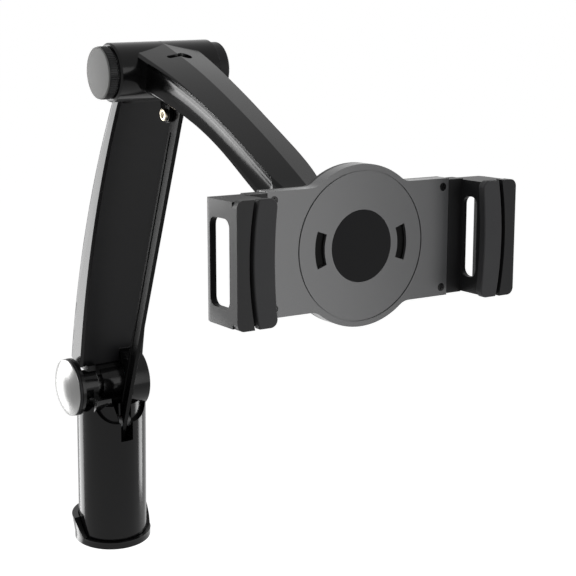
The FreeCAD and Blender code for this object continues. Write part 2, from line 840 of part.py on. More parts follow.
def link_centre(z):
    """Distance of the bar's centre line in front of the arm axis at height z."""
    low = -link_drop - link_tail
    high = arm_length - link_drop + link_top
    return link_body_low + (link_body_high - link_body_low) * (z - low) / (high - low)


def link_grooves():
    """Long grooves in both faces of the bar, between its two eyes."""
    low = -link_drop + 2 * link_eye_radius
    high = arm_length - link_drop - 2 * link_eye_radius
    fore = link_half_depth - link_rim_front
    rear = link_half_depth - link_rim_rear
    outline = [(-link_centre(low) - fore, low), (-link_centre(high) - fore, high),
               (-link_centre(high) + rear, high), (-link_centre(low) + rear, low)]
    t = link_half_thickness
    return [side_prism(outline, t - link_groove_depth, t + 1),
            side_prism(outline, -t - 1, -t + link_groove_depth)]


# Upper arm

def station_wire(station):
    top_out, top_z, low_out, low_z, half = station
    bevel = arm_edge_bevel
    ridge = upper_axis + point(0, -top_out, top_z)
    floor = upper_axis + point(0, -low_out, low_z)
    drop = (floor - ridge).normalize()
    shoulder = ridge + drop * ridge_rise
    edge = ridge + drop * (ridge_rise + bevel)
    low_edge = floor - drop * bevel
    ring = [ridge,
            shoulder + X * (half - bevel), edge + X * half, low_edge + X * half, floor + X * (half - bevel),
            floor - X * (half - bevel), low_edge - X * half, edge - X * half, shoulder - X * (half - bevel)]
    return Part.makePolygon(ring + [ring[0]])


def side_channel():
    """Round cutter for the right flank: squarely ended near the hinge, rounded near the tip."""
    path = []
    for top_out, top_z, low_out, low_z, half in arm_stations[1:-1]:
        middle = point(half + side_channel_offset, -(top_out + low_out) / 2, (top_z - ridge_rise / 2 + low_z) / 2)
        path.append(upper_axis + middle)
    first = path[0] + (path[1] - path[0]) * 0.07
    last = path[-1] + (path[-2] - path[-1]) * 0.18
    route = [first] + path[1:-1] + [last]
    curve = Part.BSplineCurve()
    curve.interpolate(route)
    spine = Part.Wire(curve.toShape())
    direction = curve.tangent(curve.FirstParameter)[0]
    ring = Part.Wire(Part.makeCircle(side_channel_radius, route[0], direction))
    pipe = spine.makePipeShell([ring], True, True)
    return [pipe, Part.makeSphere(side_channel_radius, route[-1])]


def tee_window():
    """Sector of the barrel's wall that is open for the lower arm."""
    reach = tee_radius + 4
    count = 12
    rim = []
    for k in range(count + 1):
        angle = math.radians(tee_window_low + (tee_window_high - tee_window_low) * k / count)
        rim.append((upper_axis.y + reach * math.sin(angle), upper_axis.z - reach * math.cos(angle)))
    sector = side_prism([(upper_axis.y, upper_axis.z)] + rim, -tee_inner_half, tee_inner_half)
    return sector


def link_lugs():
    """Two thin lugs under the arm's root that hold the stay link's upper bolt."""
    y, z = link_high.y, link_high.z
    root = upper_axis.z + arm_stations[0][3] + 4
    shape = [(y + 9, root), (y + link_eye_radius, z), (y - link_eye_radius, z), (y - 4.0, root)]
    right = side_prism(shape, lug_inner, lug_inner + lug_thickness)
    right = right.fuse(rod_x(link_eye_radius, lug_inner, lug_inner + lug_thickness, y, z))
    right = right.cut(rod_x(upper_knuckle_radius + 2, -40, 40, upper_axis.y, upper_axis.z))
    return [right, mirror_x(right)]


def underside_pocket():
    """Hollow under the arm for the cable, with cross ribs left standing."""
    below = arm_stations[-1][3] - pan_eye_length
    above = arm_stations[0][1]
    bends = [station[0] for station in arm_stations[2:5]]
    outline = [(-out, ridge_height(out) - pocket_roof) for out in [pocket_start] + bends + [pocket_end]]
    outline += [(-pocket_end, below), (-pocket_start, below)]
    tool = side_prism(outline, -pocket_half_width, pocket_half_width)
    half = pocket_rib_width / 2
    wide = pocket_half_width + 1
    tool = cut(tool, [box(-wide, wide, -out - half, -out + half, below - 1, above) for out in pocket_ribs])
    tool.translate(upper_axis)
    return tool


def ridge_height(out):
    """Height of the ridge above the upper hinge axis, at a distance in front of it."""
    for a, b in zip(arm_stations, arm_stations[1:]):
        if a[0] <= out <= b[0]:
            return a[1] + (b[1] - a[1]) * (out - a[0]) / (b[0] - a[0])
    return arm_stations[0][1]


def keyhole():
    y = -keyhole_reach
    top = ridge_height(keyhole_reach)
    low = top - keyhole_depth
    high = top + ridge_rise
    end = keyhole_slot_end + keyhole_slot_half
    tools = [rod_z(keyhole_radius, low, high, keyhole_offset, y),
             box(end, keyhole_offset, y - keyhole_slot_half, y + keyhole_slot_half, low, high),
             rod_z(keyhole_slot_half, low, high, end, y)]
    for tool in tools:
        tool.translate(upper_axis)
    return tools


def upper_arm_casting():
    beam = Part.makeLoft([station_wire(s) for s in arm_stations], True, False)
    channel = side_channel()
    beam = cut(beam, channel + [mirror_x(c) for c in channel])
    beam = cut(beam, [underside_pocket()] + keyhole())
    tee = rod_x(tee_radius, -tee_half_length, tee_half_length, upper_axis.y, upper_axis.z)
    rims = [e for e in tee.Edges if isinstance(e.Curve, Part.Circle)]
    tee = tee.makeChamfer(tee_chamfer, rims)
    eye = rod_z(pan_eye_radius, pan_eye_low, pan_eye_high, 0, -pan_distance)
    reach = 2 * pan_eye_length
    clear = [rod_z(pan_clearance_radius, pan_eye_high, pan_eye_high + reach, 0, -pan_distance),
             rod_z(pan_clearance_radius, pan_eye_low - reach, pan_eye_low, 0, -pan_distance)]
    body = fuse([beam, tee, eye] + link_lugs())
    bore = rod_x(tee_bore_radius, -tee_inner_half, tee_inner_half, upper_axis.y, upper_axis.z)
    far = tee_half_length + 1
    bolt = rod_x(upper_bolt_radius + seat_gap, -far, far, upper_axis.y, upper_axis.z)
    link_hole = rod_x(link_pin_radius + seat_gap, -far / 2, far / 2, link_high.y, link_high.z)
    pan_hole = rod_z(pan_pin_radius + running_fit, pan_eye_low - 1, pan_eye_high + 1, 0, -pan_distance)
    return cut(body, clear + [bore, tee_window(), bolt, link_hole, pan_hole])


def upper_hinge_bolt():
    return rod_x(upper_bolt_radius, -knob_start - 2.6, end_cap_start + 2.5, upper_axis.y, upper_axis.z)


def end_cap():
    cap = rod_x(end_cap_radius, end_cap_start, end_cap_end, upper_axis.y, upper_axis.z)
    rims = [e for e in cap.Edges if isinstance(e.Curve, Part.Circle) and e.CenterOfMass.x > end_cap_end - 1]
    cap = cap.makeFillet(1.0, rims)
    return cap.cut(rod_x(upper_bolt_radius + seat_gap, 0, end_cap_start + 2.7, upper_axis.y, upper_axis.z))


def tension_knob():
    start, end = -knob_end, -knob_start
    y, z = upper_axis.y, upper_axis.z
    body = rod_x(knob_radius, start + knob_face_thickness, end, y, z)
    flutes = []
    for k in range(knob_flutes):
        angle = 2 * math.pi * k / knob_flutes
        flutes.append(rod_x(knob_flute_radius, start - 1, end - 1.2,
                            y + knob_radius * math.cos(angle), z + knob_radius * math.sin(angle)))
    thread = rod_x(upper_bolt_radius + running_fit, end - 3.0, end + 1, y, z)
    return cut(body, [Part.makeCompound(flutes), thread])


def knob_face():
    y, z = upper_axis.y, upper_axis.z
    return rod_x(knob_face_radius, -knob_end, -knob_end + knob_face_thickness - 0.03, y, z)


def knob_washer():
    return tube_x(knob_radius - 1.6, upper_bolt_radius + seat_gap, -knob_start + face_gap,
                  -tee_half_length - face_gap, upper_axis.y, upper_axis.z)


def link_bolt_upper():
    y, z = link_high.y, link_high.z
    outer = lug_inner + lug_thickness
    shank = rod_x(link_pin_radius, -outer - 1, outer + 3.4, y, z)
    head = rod_x(link_bolt_head_radius, -outer - face_gap - link_bolt_head_height, -outer - face_gap, y, z)
    socket = hexagon_x(3.0, -outer - 4, -outer - 0.9, y, z)
    return fuse([shank, head]).cut(socket)


def link_nut_upper():
    outer = lug_inner + lug_thickness + seat_gap
    nut = hexagon_x(6.6, outer, outer + 2.8, link_high.y, link_high.z)
    return nut.cut(rod_x(link_pin_radius + seat_gap, 0, 20, link_high.y, link_high.z))


# Holder swivel and tilt

def pan_yoke():
    y = -pan_distance
    top = pan_eye_high + face_gap * 2
    low = pan_eye_low - face_gap * 2
    plates = []
    for z0, z1 in ((top, top + yoke_plate), (low - yoke_plate, low)):
        plates.append(rod_z(yoke_radius, z0, z1, 0, y))
        plates.append(box(-yoke_radius, yoke_radius, -yoke_block_front, y, z0, z1))
    back = y - pan_clearance_radius
    block = box(-yoke_radius, yoke_radius, -yoke_block_front, back, low - yoke_plate, top + yoke_plate)
    knuckle = rod_x(tilt_knuckle_radius, -tilt_knuckle_half, tilt_knuckle_half, tilt_axis.y, tilt_axis.z)
    neck = box(-tilt_knuckle_half, tilt_knuckle_half, tilt_axis.y, -yoke_block_front + 0.5,
               tilt_axis.z - tilt_knuckle_radius, tilt_axis.z + tilt_knuckle_radius)
    holes = [rod_z(pan_pin_radius + seat_gap, low - yoke_plate - 1, top + yoke_plate + 1, 0, y),
             rod_x(tilt_pin_radius + running_fit, -20, 20, tilt_axis.y, tilt_axis.z)]
    return cut(fuse(plates + [block, knuckle, neck]), holes)


def pan_pin():
    top = pan_eye_high + face_gap * 2 + yoke_plate
    low = pan_eye_low - face_gap * 2 - yoke_plate
    shank = rod_z(pan_pin_radius, low - 1.2, top + 1, 0, -pan_distance)
    head = rod_z(pan_pin_radius + 1.8, top + seat_gap, top + seat_gap + 1.8, 0, -pan_distance)
    return fuse([shank, head])


def tilt_fork():
    """Flange that carries the holder, with two ears around the tilt knuckle (holder frame)."""
    near = holder_depth + face_gap * 4
    far = near + flange_thickness
    flange = rod_y(flange_radius, near, far)
    ears = []
    x0 = tilt_knuckle_half + 0.1
    for side in (-1, 1):
        a, b = sorted((side * x0, side * (x0 + tilt_ear_thickness)))
        ears.append(rod_x(tilt_knuckle_radius, a, b, tilt_setback, 0))
        ears.append(box(a, b, far - 0.5, tilt_setback, -tilt_knuckle_radius, tilt_knuckle_radius))
    post = rod_y(turn_post_radius, holder_depth - back_skin - 1.6, near + 1)
    lip = rod_y(turn_post_radius + turn_lip, holder_depth - back_skin - 1.6, holder_depth - back_skin - 0.1)
    pin_hole = rod_x(tilt_pin_radius + seat_gap, -20, 20, tilt_setback, 0)
    bore = rod_y(pinion_bore - 0.6, 0, near + 1)
    return cut(fuse([flange, post, lip] + ears), [pin_hole, bore])


def tilt_pin():
    half = tilt_knuckle_half + 0.1 + tilt_ear_thickness
    shank = rod_x(tilt_pin_radius, -half - 1, half + 2.4, tilt_setback, 0)
    head = rod_x(tilt_pin_radius + 1.6, -half - 2.0, -half - seat_gap, tilt_setback, 0)
    socket = hexagon_x(2.5, -half - 3, -half - 0.9, tilt_setback, 0)
    return fuse([shank, head]).cut(socket)


def tilt_nut():
    half = tilt_knuckle_half + 0.1 + tilt_ear_thickness + seat_gap
    nut = hexagon_x(6.4, half, half + 2.2, tilt_setback, 0)
    return nut.cut(rod_x(tilt_pin_radius + seat_gap, 0, 30, tilt_setback, 0))


# Holder, drawn with its front face at y = 0 and its depth toward +Y

def holder_outline(y0, y1, shrink):
    disc = rod_y(disc_radius - shrink, y0, y1)
    wings = box(-wing_half_length + shrink, wing_half_length - shrink, y0, y1,
                -wing_half_height + shrink, wing_half_height - shrink)
    body = fuse([disc, wings])
    corners = []
    for edge in body.Edges:
        middle = edge.CenterOfMass
        upright = abs(edge.Length - (y1 - y0)) < 0.01 and abs(middle.y - (y0 + y1) / 2) < 0.01
        if upright and abs(middle.x) < disc_radius - 2 and abs(abs(middle.z) - wing_half_height + shrink) < 0.1:
            corners.append(edge)
    return body.makeFillet(disc_blend + shrink, corners)


def arc_window(side, y0, y1):
    """Curved slot through the disc, beside the centre pad."""
    a = math.radians(window_half_angle)
    inner, outer = window_inner_radius, window_outer_radius

    def rim(radius, angle):
        return point(side * radius * math.cos(angle), y0, radius * math.sin(angle))

    edges = [arc(rim(inner, -a), rim(inner, 0), rim(inner, a)), line(rim(inner, a), rim(outer, a)),
             arc(rim(outer, a), rim(outer, 0), rim(outer, -a)), line(rim(outer, -a), rim(inner, -a))]
    return Part.Face(Part.Wire(edges)).extrude(Y * (y1 - y0))


def plate_screw_places():
    return [(sx * plate_screw_x, sz * plate_screw_z) for sx in (-1, 1) for sz in (-1, 1)]


split = holder_depth - back_skin


def front_plate():
    body = holder_outline(0, split - seat_gap, 0)
    hollow = holder_outline(front_skin, split + 1, rim_wall)
    mouth = box(-60, 60, front_skin, split + 1, -carriage_half_height - 0.5, carriage_half_height + 0.5)
    mouth = mouth.cut(box(-wing_half_length + 5, wing_half_length - 5, 0, 20, -60, 60))
    groove = rod_y(groove_radius, -1, groove_depth).cut(rod_y(groove_radius - groove_width, -2, 2))
    recess = rod_y(pad_radius + 0.1, -1, pad_recess)
    windows = [arc_window(side, -1, front_skin + 1) for side in (-1, 1)]
    body = cut(body, [hollow, mouth, groove, recess] + windows)
    bosses = [rod_y(2.2, front_skin - 0.5, split - seat_gap, x, z) for x, z in plate_screw_places()]
    body = fuse([body] + bosses)
    screws = []
    for x, z in plate_screw_places():
        screws.append(rod_y(plate_screw_radius + 0.1, -1, 20, x, z))
        screws.append(rod_y(plate_screw_head + 0.1, -1, 1.2, x, z))
    return cut(body, screws)


def back_cover():
    body = holder_outline(split, holder_depth, 0)
    post = rod_y(turn_post_radius + running_fit, split - 1, holder_depth + 1)
    pilots = [rod_y(plate_screw_radius + 0.1, split - 1, holder_depth - 0.6, x, z)
              for x, z in plate_screw_places()]
    anchors = [spring_anchor(), right_of(spring_anchor())]
    return cut(fuse([body] + anchors), [post] + pilots)


spring_depth = (front_skin + split) / 2.0
spring_pocket = spring_radius + spring_wire + spring_pocket_play


def spring_anchor():
    """Post on the back cover that holds the left spring's fixed end."""
    low = spring_height - spring_pocket - 0.25
    high = spring_height + spring_pocket + 0.25
    post = box(-spring_anchor_outer, -spring_anchor_inner, front_skin + 0.2, split + 0.1, low, high)
    return post.cut(rod_x(spring_pocket, -spring_anchor_outer - 1, -spring_fixed_end + 0.1,
                          spring_depth, spring_height))


def left_return_spring():
    """Extension spring between the anchor and the left carriage."""
    length = spring_moving_end - spring_fixed_end - 2 * spring_wire
    helix = Part.makeHelix(spring_pitch, length, spring_radius)
    section = [point(spring_radius + sx * spring_wire, 0, sz * spring_wire)
               for sx, sz in ((-1, 0), (0, -1), (1, 0), (0, 1), (-1, 0))]
    coil = Part.Wire(helix).makePipeShell([Part.makePolygon(section)], True, True)
    coil.rotate(origin, Y, -90)
    coil.translate(point(-spring_fixed_end - spring_wire, spring_depth, spring_height))
    return coil


def centre_pad():
    return rod_y(pad_radius, -pad_proud, pad_recess - 0.03)


def plate_screws():
    solids = []
    for x, z in plate_screw_places():
        head = rod_y(plate_screw_head, 0.15, 1.15, x, z)
        shank = rod_y(plate_screw_radius, 1.0, holder_depth - 0.8, x, z)
        solids.append(fuse([head, shank]).cut(box(x - 0.3, x + 0.3, -1, 0.7, z - 1.3, z + 1.3)))
    return Part.makeCompound(solids)


# Rack and pinion

pitch_radius = gear_module * pinion_teeth / 2.0
slide_front = front_skin + slide_play
slide_back = split - slide_play


def involute(base, radius):
    """Polar angle of the involute of a base circle at a radius."""
    roll = math.sqrt(max(radius * radius / (base * base) - 1.0, 0.0))
    return roll - math.atan(roll)


def pinion_gear():
    base = pitch_radius * math.cos(math.radians(pressure_angle))
    root = pitch_radius - tooth_dedendum
    tip = pitch_radius + tooth_addendum
    half = math.pi / (2 * pinion_teeth) - tooth_backlash / (2 * pitch_radius)
    at_pitch = involute(base, pitch_radius)
    start = max(base, root + 0.05)
    flank = []
    for k in range(5):
        radius = start + (tip - start) * k / 4.0
        flank.append((radius, half + at_pitch - involute(base, radius)))
    outline = []
    for tooth in range(pinion_teeth):
        middle = 2 * math.pi * (tooth + 0.5) / pinion_teeth
        widest = flank[0][1]
        outline.append((root, middle - widest))
        outline += [(radius, middle - angle) for radius, angle in flank]
        outline += [(radius, middle + angle) for radius, angle in reversed(flank)]
        outline.append((root, middle + widest))
    ring = [point(r * math.cos(a), slide_front, r * math.sin(a)) for r, a in outline]
    gear = polygon_face(ring).extrude(Y * (split - 1.9 - slide_front))
    return gear.cut(rod_y(pinion_bore + running_fit, 0, 20))


def pinion_post():
    """Shouldered pin that the pinion turns on, held in the front plate."""
    return rod_y(pinion_bore, front_skin + 0.02, split - 1.9)


def rack_teeth(x0, x1, back):
    """Straight rack above the pinion; a tooth stands over the pinion's centre."""
    pitch = math.pi * gear_module
    slope = math.tan(math.radians(pressure_angle))
    tip = pitch_radius - tooth_addendum
    root = pitch_radius + tooth_dedendum
    half = pitch / 4.0 - tooth_backlash / 2.0
    outline = [(x0, back), (x0, root)]
    first = int(math.ceil((x0 + pitch / 2) / pitch))
    last = int(math.floor((x1 - pitch / 2) / pitch))
    for k in range(first, last + 1):
        middle = k * pitch
        wide = half + tooth_dedendum * slope
        narrow = half - tooth_addendum * slope
        outline += [(middle - wide, root), (middle - narrow, tip), (middle + narrow, tip), (middle + wide, root)]
    outline += [(x1, root), (x1, back)]
    ring = [point(x, slide_front, z) for x, z in outline]
    return polygon_face(ring).extrude(Y * (slide_back - slide_front))


# Grips, drawn for the left side

def rounded_slot(x0, x1, y0, y1, half):
    block = box(x0, x1, y0, y1, -half, half)
    edges = [e for e in block.Edges if abs(e.Length - (x1 - x0)) < 0.001]
    return block.makeFillet(grip_hole_corner, edges)


def curved_strip(outer_end, outer_mid, inner_end, inner_mid, y0, y1):
    """Upright strip between two edges that may bow; x is measured outward."""
    h = lip_half_height
    edges = []
    left = [point(-outer_end, y0, -h), point(-outer_mid, y0, 0), point(-outer_end, y0, h)]
    right = [point(-inner_end, y0, h), point(-inner_mid, y0, 0), point(-inner_end, y0, -h)]
    for a, m, b in (left, right):
        straight = abs(a.x - m.x) < 0.001
        edges.append(line(a, b) if straight else arc(a, m, b))
        nxt = right[0] if a is left[0] else left[0]
        edges.append(line(b, nxt))
    return Part.Face(Part.Wire(edges)).extrude(Y * (y1 - y0))


def round_upright_corners(strip, radius, outward):
    """Round the strip's corners on one side, looking from the front."""
    edges = []
    xs = [v.X for v in strip.Vertexes]
    limit = min(xs) if outward else max(xs)
    radius = min(radius, 0.45 * (max(xs) - min(xs)))
    for edge in strip.Edges:
        vertices = edge.Vertexes
        along = abs(vertices[0].X - vertices[-1].X) < 0.001 and abs(vertices[0].Z - vertices[-1].Z) < 0.001
        if along and abs(vertices[0].X - limit) < 0.001:
            edges.append(edge)
    return strip.makeFillet(radius, edges)


def left_grip_frame():
    hull = box(-grip_outer, -grip_inner, -grip_front, grip_back, -grip_half_height, grip_half_height)
    hollow = box(-grip_outer + grip_outer_wall, -grip_inner - grip_inner_wall, -grip_front + grip_front_wall,
                 grip_back + 1, -grip_half_height + grip_end_wall, grip_half_height - grip_end_wall)
    outer_hole = rounded_slot(-grip_outer - 1, -grip_outer + grip_outer_wall + 0.5, -outer_hole_front,
                              outer_hole_back, grip_hole_half)
    inner_hole = rounded_slot(-grip_inner - grip_inner_wall - 0.5, -grip_inner + 1, -inner_hole_front,
                              -inner_hole_back, grip_hole_half)
    lip = curved_strip(grip_outer, grip_outer, lip_gap_end + lip_gap_width / 2,
                       lip_gap_mid + lip_gap_width / 2, -lip_front, -grip_front + 0.5)
    lip = round_upright_corners(lip, lip_corner, True)
    floor = box(-grip_inner - 0.5, -carriage_end, carriage_front, grip_back,
                -carriage_half_height, carriage_half_height)
    tie = box(-carriage_end - 0.5, -carriage_end + 4, slide_front, slide_back,
              -guide_outer, spring_height + spring_pocket + 0.4)
    tie = tie.cut(rod_x(spring_pocket, -spring_moving_end - 0.1, -carriage_end + 5, spring_depth, spring_height))
    rack = rack_teeth(-carriage_end - 0.5, rack_end, rack_back)
    guide = box(-carriage_end - 0.5, -guide_end, slide_front, slide_back, -guide_outer, -guide_inner)
    return fuse([cut(hull, [hollow, outer_hole, inner_hole, back_facet()]), lip, floor, tie, rack, guide])


def back_facet():
    """Wedge that slants the outer wall inward along its back edge."""
    side = -grip_outer
    z = -grip_half_height - 1
    outline = [(side - 1, grip_facet_start), (side, grip_facet_start),
               (side + grip_facet_depth, grip_back), (side + grip_facet_depth, grip_back + 1), (side - 1, grip_back + 1)]
    return polygon_face([point(x, y, z) for x, y in outline]).extrude(Z * (-2 * z))


def left_grip_pad():
    strip = curved_strip(lip_gap_end - lip_gap_width / 2, lip_gap_mid - lip_gap_width / 2,
                         pad_edge_end, pad_edge_mid, -lip_front - 0.2, -grip_front - 0.05)
    return round_upright_corners(strip, lip_corner, False)


def right_of(shape):
    """The right grip is the left one turned half round about the holder's normal."""
    turned = shape.copy()
    turned.rotate(origin, Y, 180)
    return turned


def export_all(pieces):
    os.makedirs("parts", exist_ok=True)
    for name, shape in pieces:
        shape.exportStep("parts/%s.step" % name)


def build_pieces():
    lower = [("lower_arm_casting", lower_arm_casting()), ("lower_arm_cover", lower_arm_cover()),
             ("cover_screws", cover_screws()), ("lower_knuckle_bush", lower_bush()),
             ("upper_knuckle_bush", upper_bush()), ("upper_thrust_washers", upper_washers()),
             ("stay_link", stay_link())]
    fork = [("tilt_fork", tilt_fork()), ("tilt_pin", tilt_pin()), ("tilt_nut", tilt_nut())]
    frame_left = left_grip_frame()
    pad_left = left_grip_pad()
    spring_left = left_return_spring()
    holder = [("front_plate", front_plate()), ("back_cover", back_cover()), ("centre_pad", centre_pad()),
              ("plate_screws", plate_screws()), ("pinion_post", pinion_post()), ("pinion_gear", pinion_gear()),
              ("left_return_spring", spring_left), ("right_return_spring", right_of(spring_left)),
              ("left_grip_frame", frame_left), ("left_grip_pad", pad_left),
              ("right_grip_frame", right_of(frame_left)), ("right_grip_pad", right_of(pad_left))]
    pieces = [("foot_cup", foot_cup()), ("mount_insert", mount_insert()),
              ("swivel_disc", swivel_disc()), ("swivel_washer", swivel_washer()),
              ("swivel_bolt", swivel_bolt()), ("column_plug", column_plug()),
              ("column_tube", column_tube()), ("hinge_head", hinge_head()),
              ("head_screws", head_screws()), ("hinge_bolt_lower", hinge_bolt_lower()),
              ("hinge_nut_lower", hinge_nut_lower()), ("hinge_cap_disc", hinge_cap_disc()),
              ("hinge_cap_dome", hinge_cap_dome()), ("hinge_washers", hinge_washers()),
              ("link_pin_lower", link_pin_lower()), ("link_spacers", link_spacers()),
              ("slot_screw", slot_screw())]
    pieces += [(name, placed(shape, arm_frame)) for name, shape in lower]
    pieces += [("upper_arm_casting", upper_arm_casting()), ("upper_hinge_bolt", upper_hinge_bolt()),
               ("end_cap", end_cap()), ("knob_washer", knob_washer()), ("tension_knob", tension_knob()),
               ("knob_face", knob_face()), ("link_bolt_upper", link_bolt_upper()),
               ("link_nut_upper", link_nut_upper()), ("pan_yoke", pan_yoke()), ("pan_pin", pan_pin())]
    pieces += [(name, placed(shape, fork_frame)) for name, shape in fork]
    pieces += [(name, placed(shape, holder_frame)) for name, shape in holder]
    return pieces


export_all(build_pieces())
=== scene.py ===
import json
import math

import bmesh
import bpy
from mathutils import Matrix, Vector


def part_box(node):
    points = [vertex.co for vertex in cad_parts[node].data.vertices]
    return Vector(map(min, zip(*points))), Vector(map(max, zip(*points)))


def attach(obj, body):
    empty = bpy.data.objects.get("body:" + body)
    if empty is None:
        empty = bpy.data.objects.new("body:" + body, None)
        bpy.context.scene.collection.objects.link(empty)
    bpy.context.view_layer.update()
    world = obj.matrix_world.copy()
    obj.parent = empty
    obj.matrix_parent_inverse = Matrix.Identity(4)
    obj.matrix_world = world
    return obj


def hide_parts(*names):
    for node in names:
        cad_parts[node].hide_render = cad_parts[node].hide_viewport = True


# Tablet mounting clamp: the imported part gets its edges, finishes and small fasteners here,
# and stands in soft studio light. Metres, Z up, the holder faces -Y.

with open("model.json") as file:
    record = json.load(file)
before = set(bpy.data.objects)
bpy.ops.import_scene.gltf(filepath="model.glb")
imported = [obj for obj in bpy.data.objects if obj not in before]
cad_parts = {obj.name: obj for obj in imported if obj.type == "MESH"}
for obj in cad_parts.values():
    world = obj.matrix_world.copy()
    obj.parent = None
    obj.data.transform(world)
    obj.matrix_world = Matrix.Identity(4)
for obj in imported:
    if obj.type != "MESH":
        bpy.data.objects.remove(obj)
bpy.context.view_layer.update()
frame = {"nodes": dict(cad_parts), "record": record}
cadNodes = frame["nodes"]
bodies = frame["record"]["behaviour"]["bodies"]
nodeBody = {name: body for body, names in bodies.items() for name in names}
nodeSlot = {part["node"]: part["material_slot"] for part in frame["record"]["subparts"]}
print("frame loaded with", len(cadNodes), "nodes")


# Shader and geometry trees

class Signal:
    # one output socket, so that shader maths reads as plain sums

    def __init__(self, builder, socket):
        self.builder = builder
        self.socket = socket

    def maths(self, operation, first, second):
        return self.builder.add("ShaderNodeMath", {"operation": operation}, {0: first, 1: second})

    def larger(self, other):
        return self.maths("MAXIMUM", self, other)

    def __add__(self, other):
        return self.maths("ADD", self, other)

    def __radd__(self, other):
        return self.maths("ADD", other, self)

    def __sub__(self, other):
        return self.maths("SUBTRACT", self, other)

    def __rsub__(self, other):
        return self.maths("SUBTRACT", other, self)

    def __mul__(self, other):
        return self.maths("MULTIPLY", self, other)

    def __rmul__(self, other):
        return self.maths("MULTIPLY", other, self)

    def __pow__(self, other):
        return self.maths("POWER", self, other)


class Builder:
    # writes nodes into one shader or geometry tree

    def __init__(self, tree):
        self.tree = tree

    def add(self, kind, settings=None, sockets=None, output=0):
        node = self.tree.nodes.new(kind)
        for key, value in (settings or {}).items():
            setattr(node, key, value)
        for key, value in (sockets or {}).items():
            self.feed(node.inputs[key], value)
        return Signal(self, node.outputs[output]) if len(node.outputs) else node

    def feed(self, socket, value):
        if isinstance(value, Signal):
            self.tree.links.new(value.socket, socket)
        elif isinstance(value, list):
            for item in value:
                self.tree.links.new(item.socket, socket)
        else:
            socket.default_value = value


def grey(tone):
    # an opaque colour from one number or from red, green and blue
    return tuple(tone) + (1.0,) if isinstance(tone, (tuple, list)) else (tone, tone, tone, 1.0)


def shade(tone, share):
    return grey([part * share for part in tone])


class Finish(Builder):
    # a surface finish that ends in one Principled shader

    def __init__(self, name):
        self.material = bpy.data.materials.new(name)
        self.material.use_nodes = True
        super().__init__(self.material.node_tree)
        self.tree.nodes.clear()
        self.place = self.add("ShaderNodeTexCoord", output="Object")

    def noise(self, scale, detail=2.0, stretch=None):
        place = self.place
        if stretch:
            place = self.add("ShaderNodeMapping", {}, {"Vector": place, "Scale": stretch})
        sockets = {"Vector": place, "Scale": scale, "Detail": detail}
        return self.add("ShaderNodeTexNoise", {}, sockets, "Fac")

    def blend(self, factor, low, high):
        # inputs 6 and 7 of a colour mix are its two colours, and output 2 is the mixed one
        settings = {"data_type": "RGBA", "clamp_factor": True}
        return self.add("ShaderNodeMix", settings, {0: factor, 6: low, 7: high}, 2)

    def bump(self, height, depth, strength, under=None):
        sockets = {"Height": height, "Distance": depth, "Strength": strength}
        if under:
            sockets["Normal"] = under
        return self.add("ShaderNodeBump", {}, sockets)

    def close(self, colour, roughness, normal, **constants):
        sockets = {"Base Color": colour, "Roughness": roughness, "Normal": normal}
        for key, value in constants.items():
            sockets[key.replace("_", " ")] = value
        shader = self.add("ShaderNodeBsdfPrincipled", {}, sockets)
        self.add("ShaderNodeOutputMaterial", {}, {"Surface": shader})
        return self.material


# Finishes: a look is one paint or material, and a pattern is how such a surface varies.
# Noise scales are in waves per metre. The peel or grain of a look and the depth of a pattern are
# bump heights in metres.

blackMetal = {"tone": (0.0032, 0.0032, 0.0034), "dust": (0.005, 0.005, 0.0052), "gloss": 0.17,
              "peel": 0.000006, "ior": 1.26}
blackSteel = dict(blackMetal, gloss=0.22)
# painted shade: a darker, less reflecting copy of the black coat, so the stay link reads as the shaded
# web of its channel
linkCoat = {"tone": (0.0015, 0.0015, 0.0016), "dust": (0.0015, 0.0015, 0.0016), "gloss": 0.24,
            "peel": 0.000004, "ior": 1.14}
coatPattern = {"cloud": 38.0, "peel": 1150.0, "grain": 4200.0, "dustPower": 3.0, "roughSwing": 0.06,
               "grainShare": 0.3, "grainBump": 0.5, "peelBump": 0.6}


def coatedMetal(name, look):
    pattern = coatPattern
    swing = pattern["roughSwing"]
    finish = Finish(name)
    cloud = finish.noise(pattern["cloud"], detail=3.0)
    peel = finish.noise(pattern["peel"])
    grain = finish.noise(pattern["grain"], detail=1.0)
    colour = finish.blend(cloud ** pattern["dustPower"], grey(look["tone"]), grey(look["dust"]))
    rough = look["gloss"] + cloud * swing - swing / 2.0
    fine = finish.bump(grain, look["peel"] * pattern["grainShare"], pattern["grainBump"])
    normal = finish.bump(peel, look["peel"], pattern["peelBump"], fine)
    return finish.close(colour, rough, normal, IOR=look["ior"])


tubeCoat = {"tone": (0.002, 0.002, 0.0022), "gloss": 0.12, "ior": 1.27}
tubePattern = {"streak": 900.0, "stretch": (1.0, 1.0, 0.02), "cloud": 55.0, "lighter": 1.35,
               "streakRough": 0.035, "cloudRough": 0.02, "depth": 0.000004, "bump": 0.4}


def drawnTube(name, look):
    pattern = tubePattern
    finish = Finish(name)
    streak = finish.noise(pattern["streak"], stretch=pattern["stretch"])
    cloud = finish.noise(pattern["cloud"])
    colour = finish.blend(cloud, grey(look["tone"]), shade(look["tone"], pattern["lighter"]))
    rough = look["gloss"] + streak * pattern["streakRough"] + cloud * pattern["cloudRough"]
    normal = finish.bump(streak, pattern["depth"], pattern["bump"])
    return finish.close(colour, rough, normal, IOR=look["ior"])


coverCoat = {"tone": (0.003, 0.003, 0.0034), "gloss": 0.34, "grain": 0.000008, "ior": 1.22}
# painted shade: a near-black, barely reflecting panel finish for the slot floors, standing in for the
# shade in the plate's slots
slotBlack = dict(coverCoat, tone=(0.001, 0.001, 0.001), ior=1.12)
panelPattern = {"grain": 3000.0, "cloud": 30.0, "lighter": 1.3, "cloudRough": 0.05, "bump": 0.7}


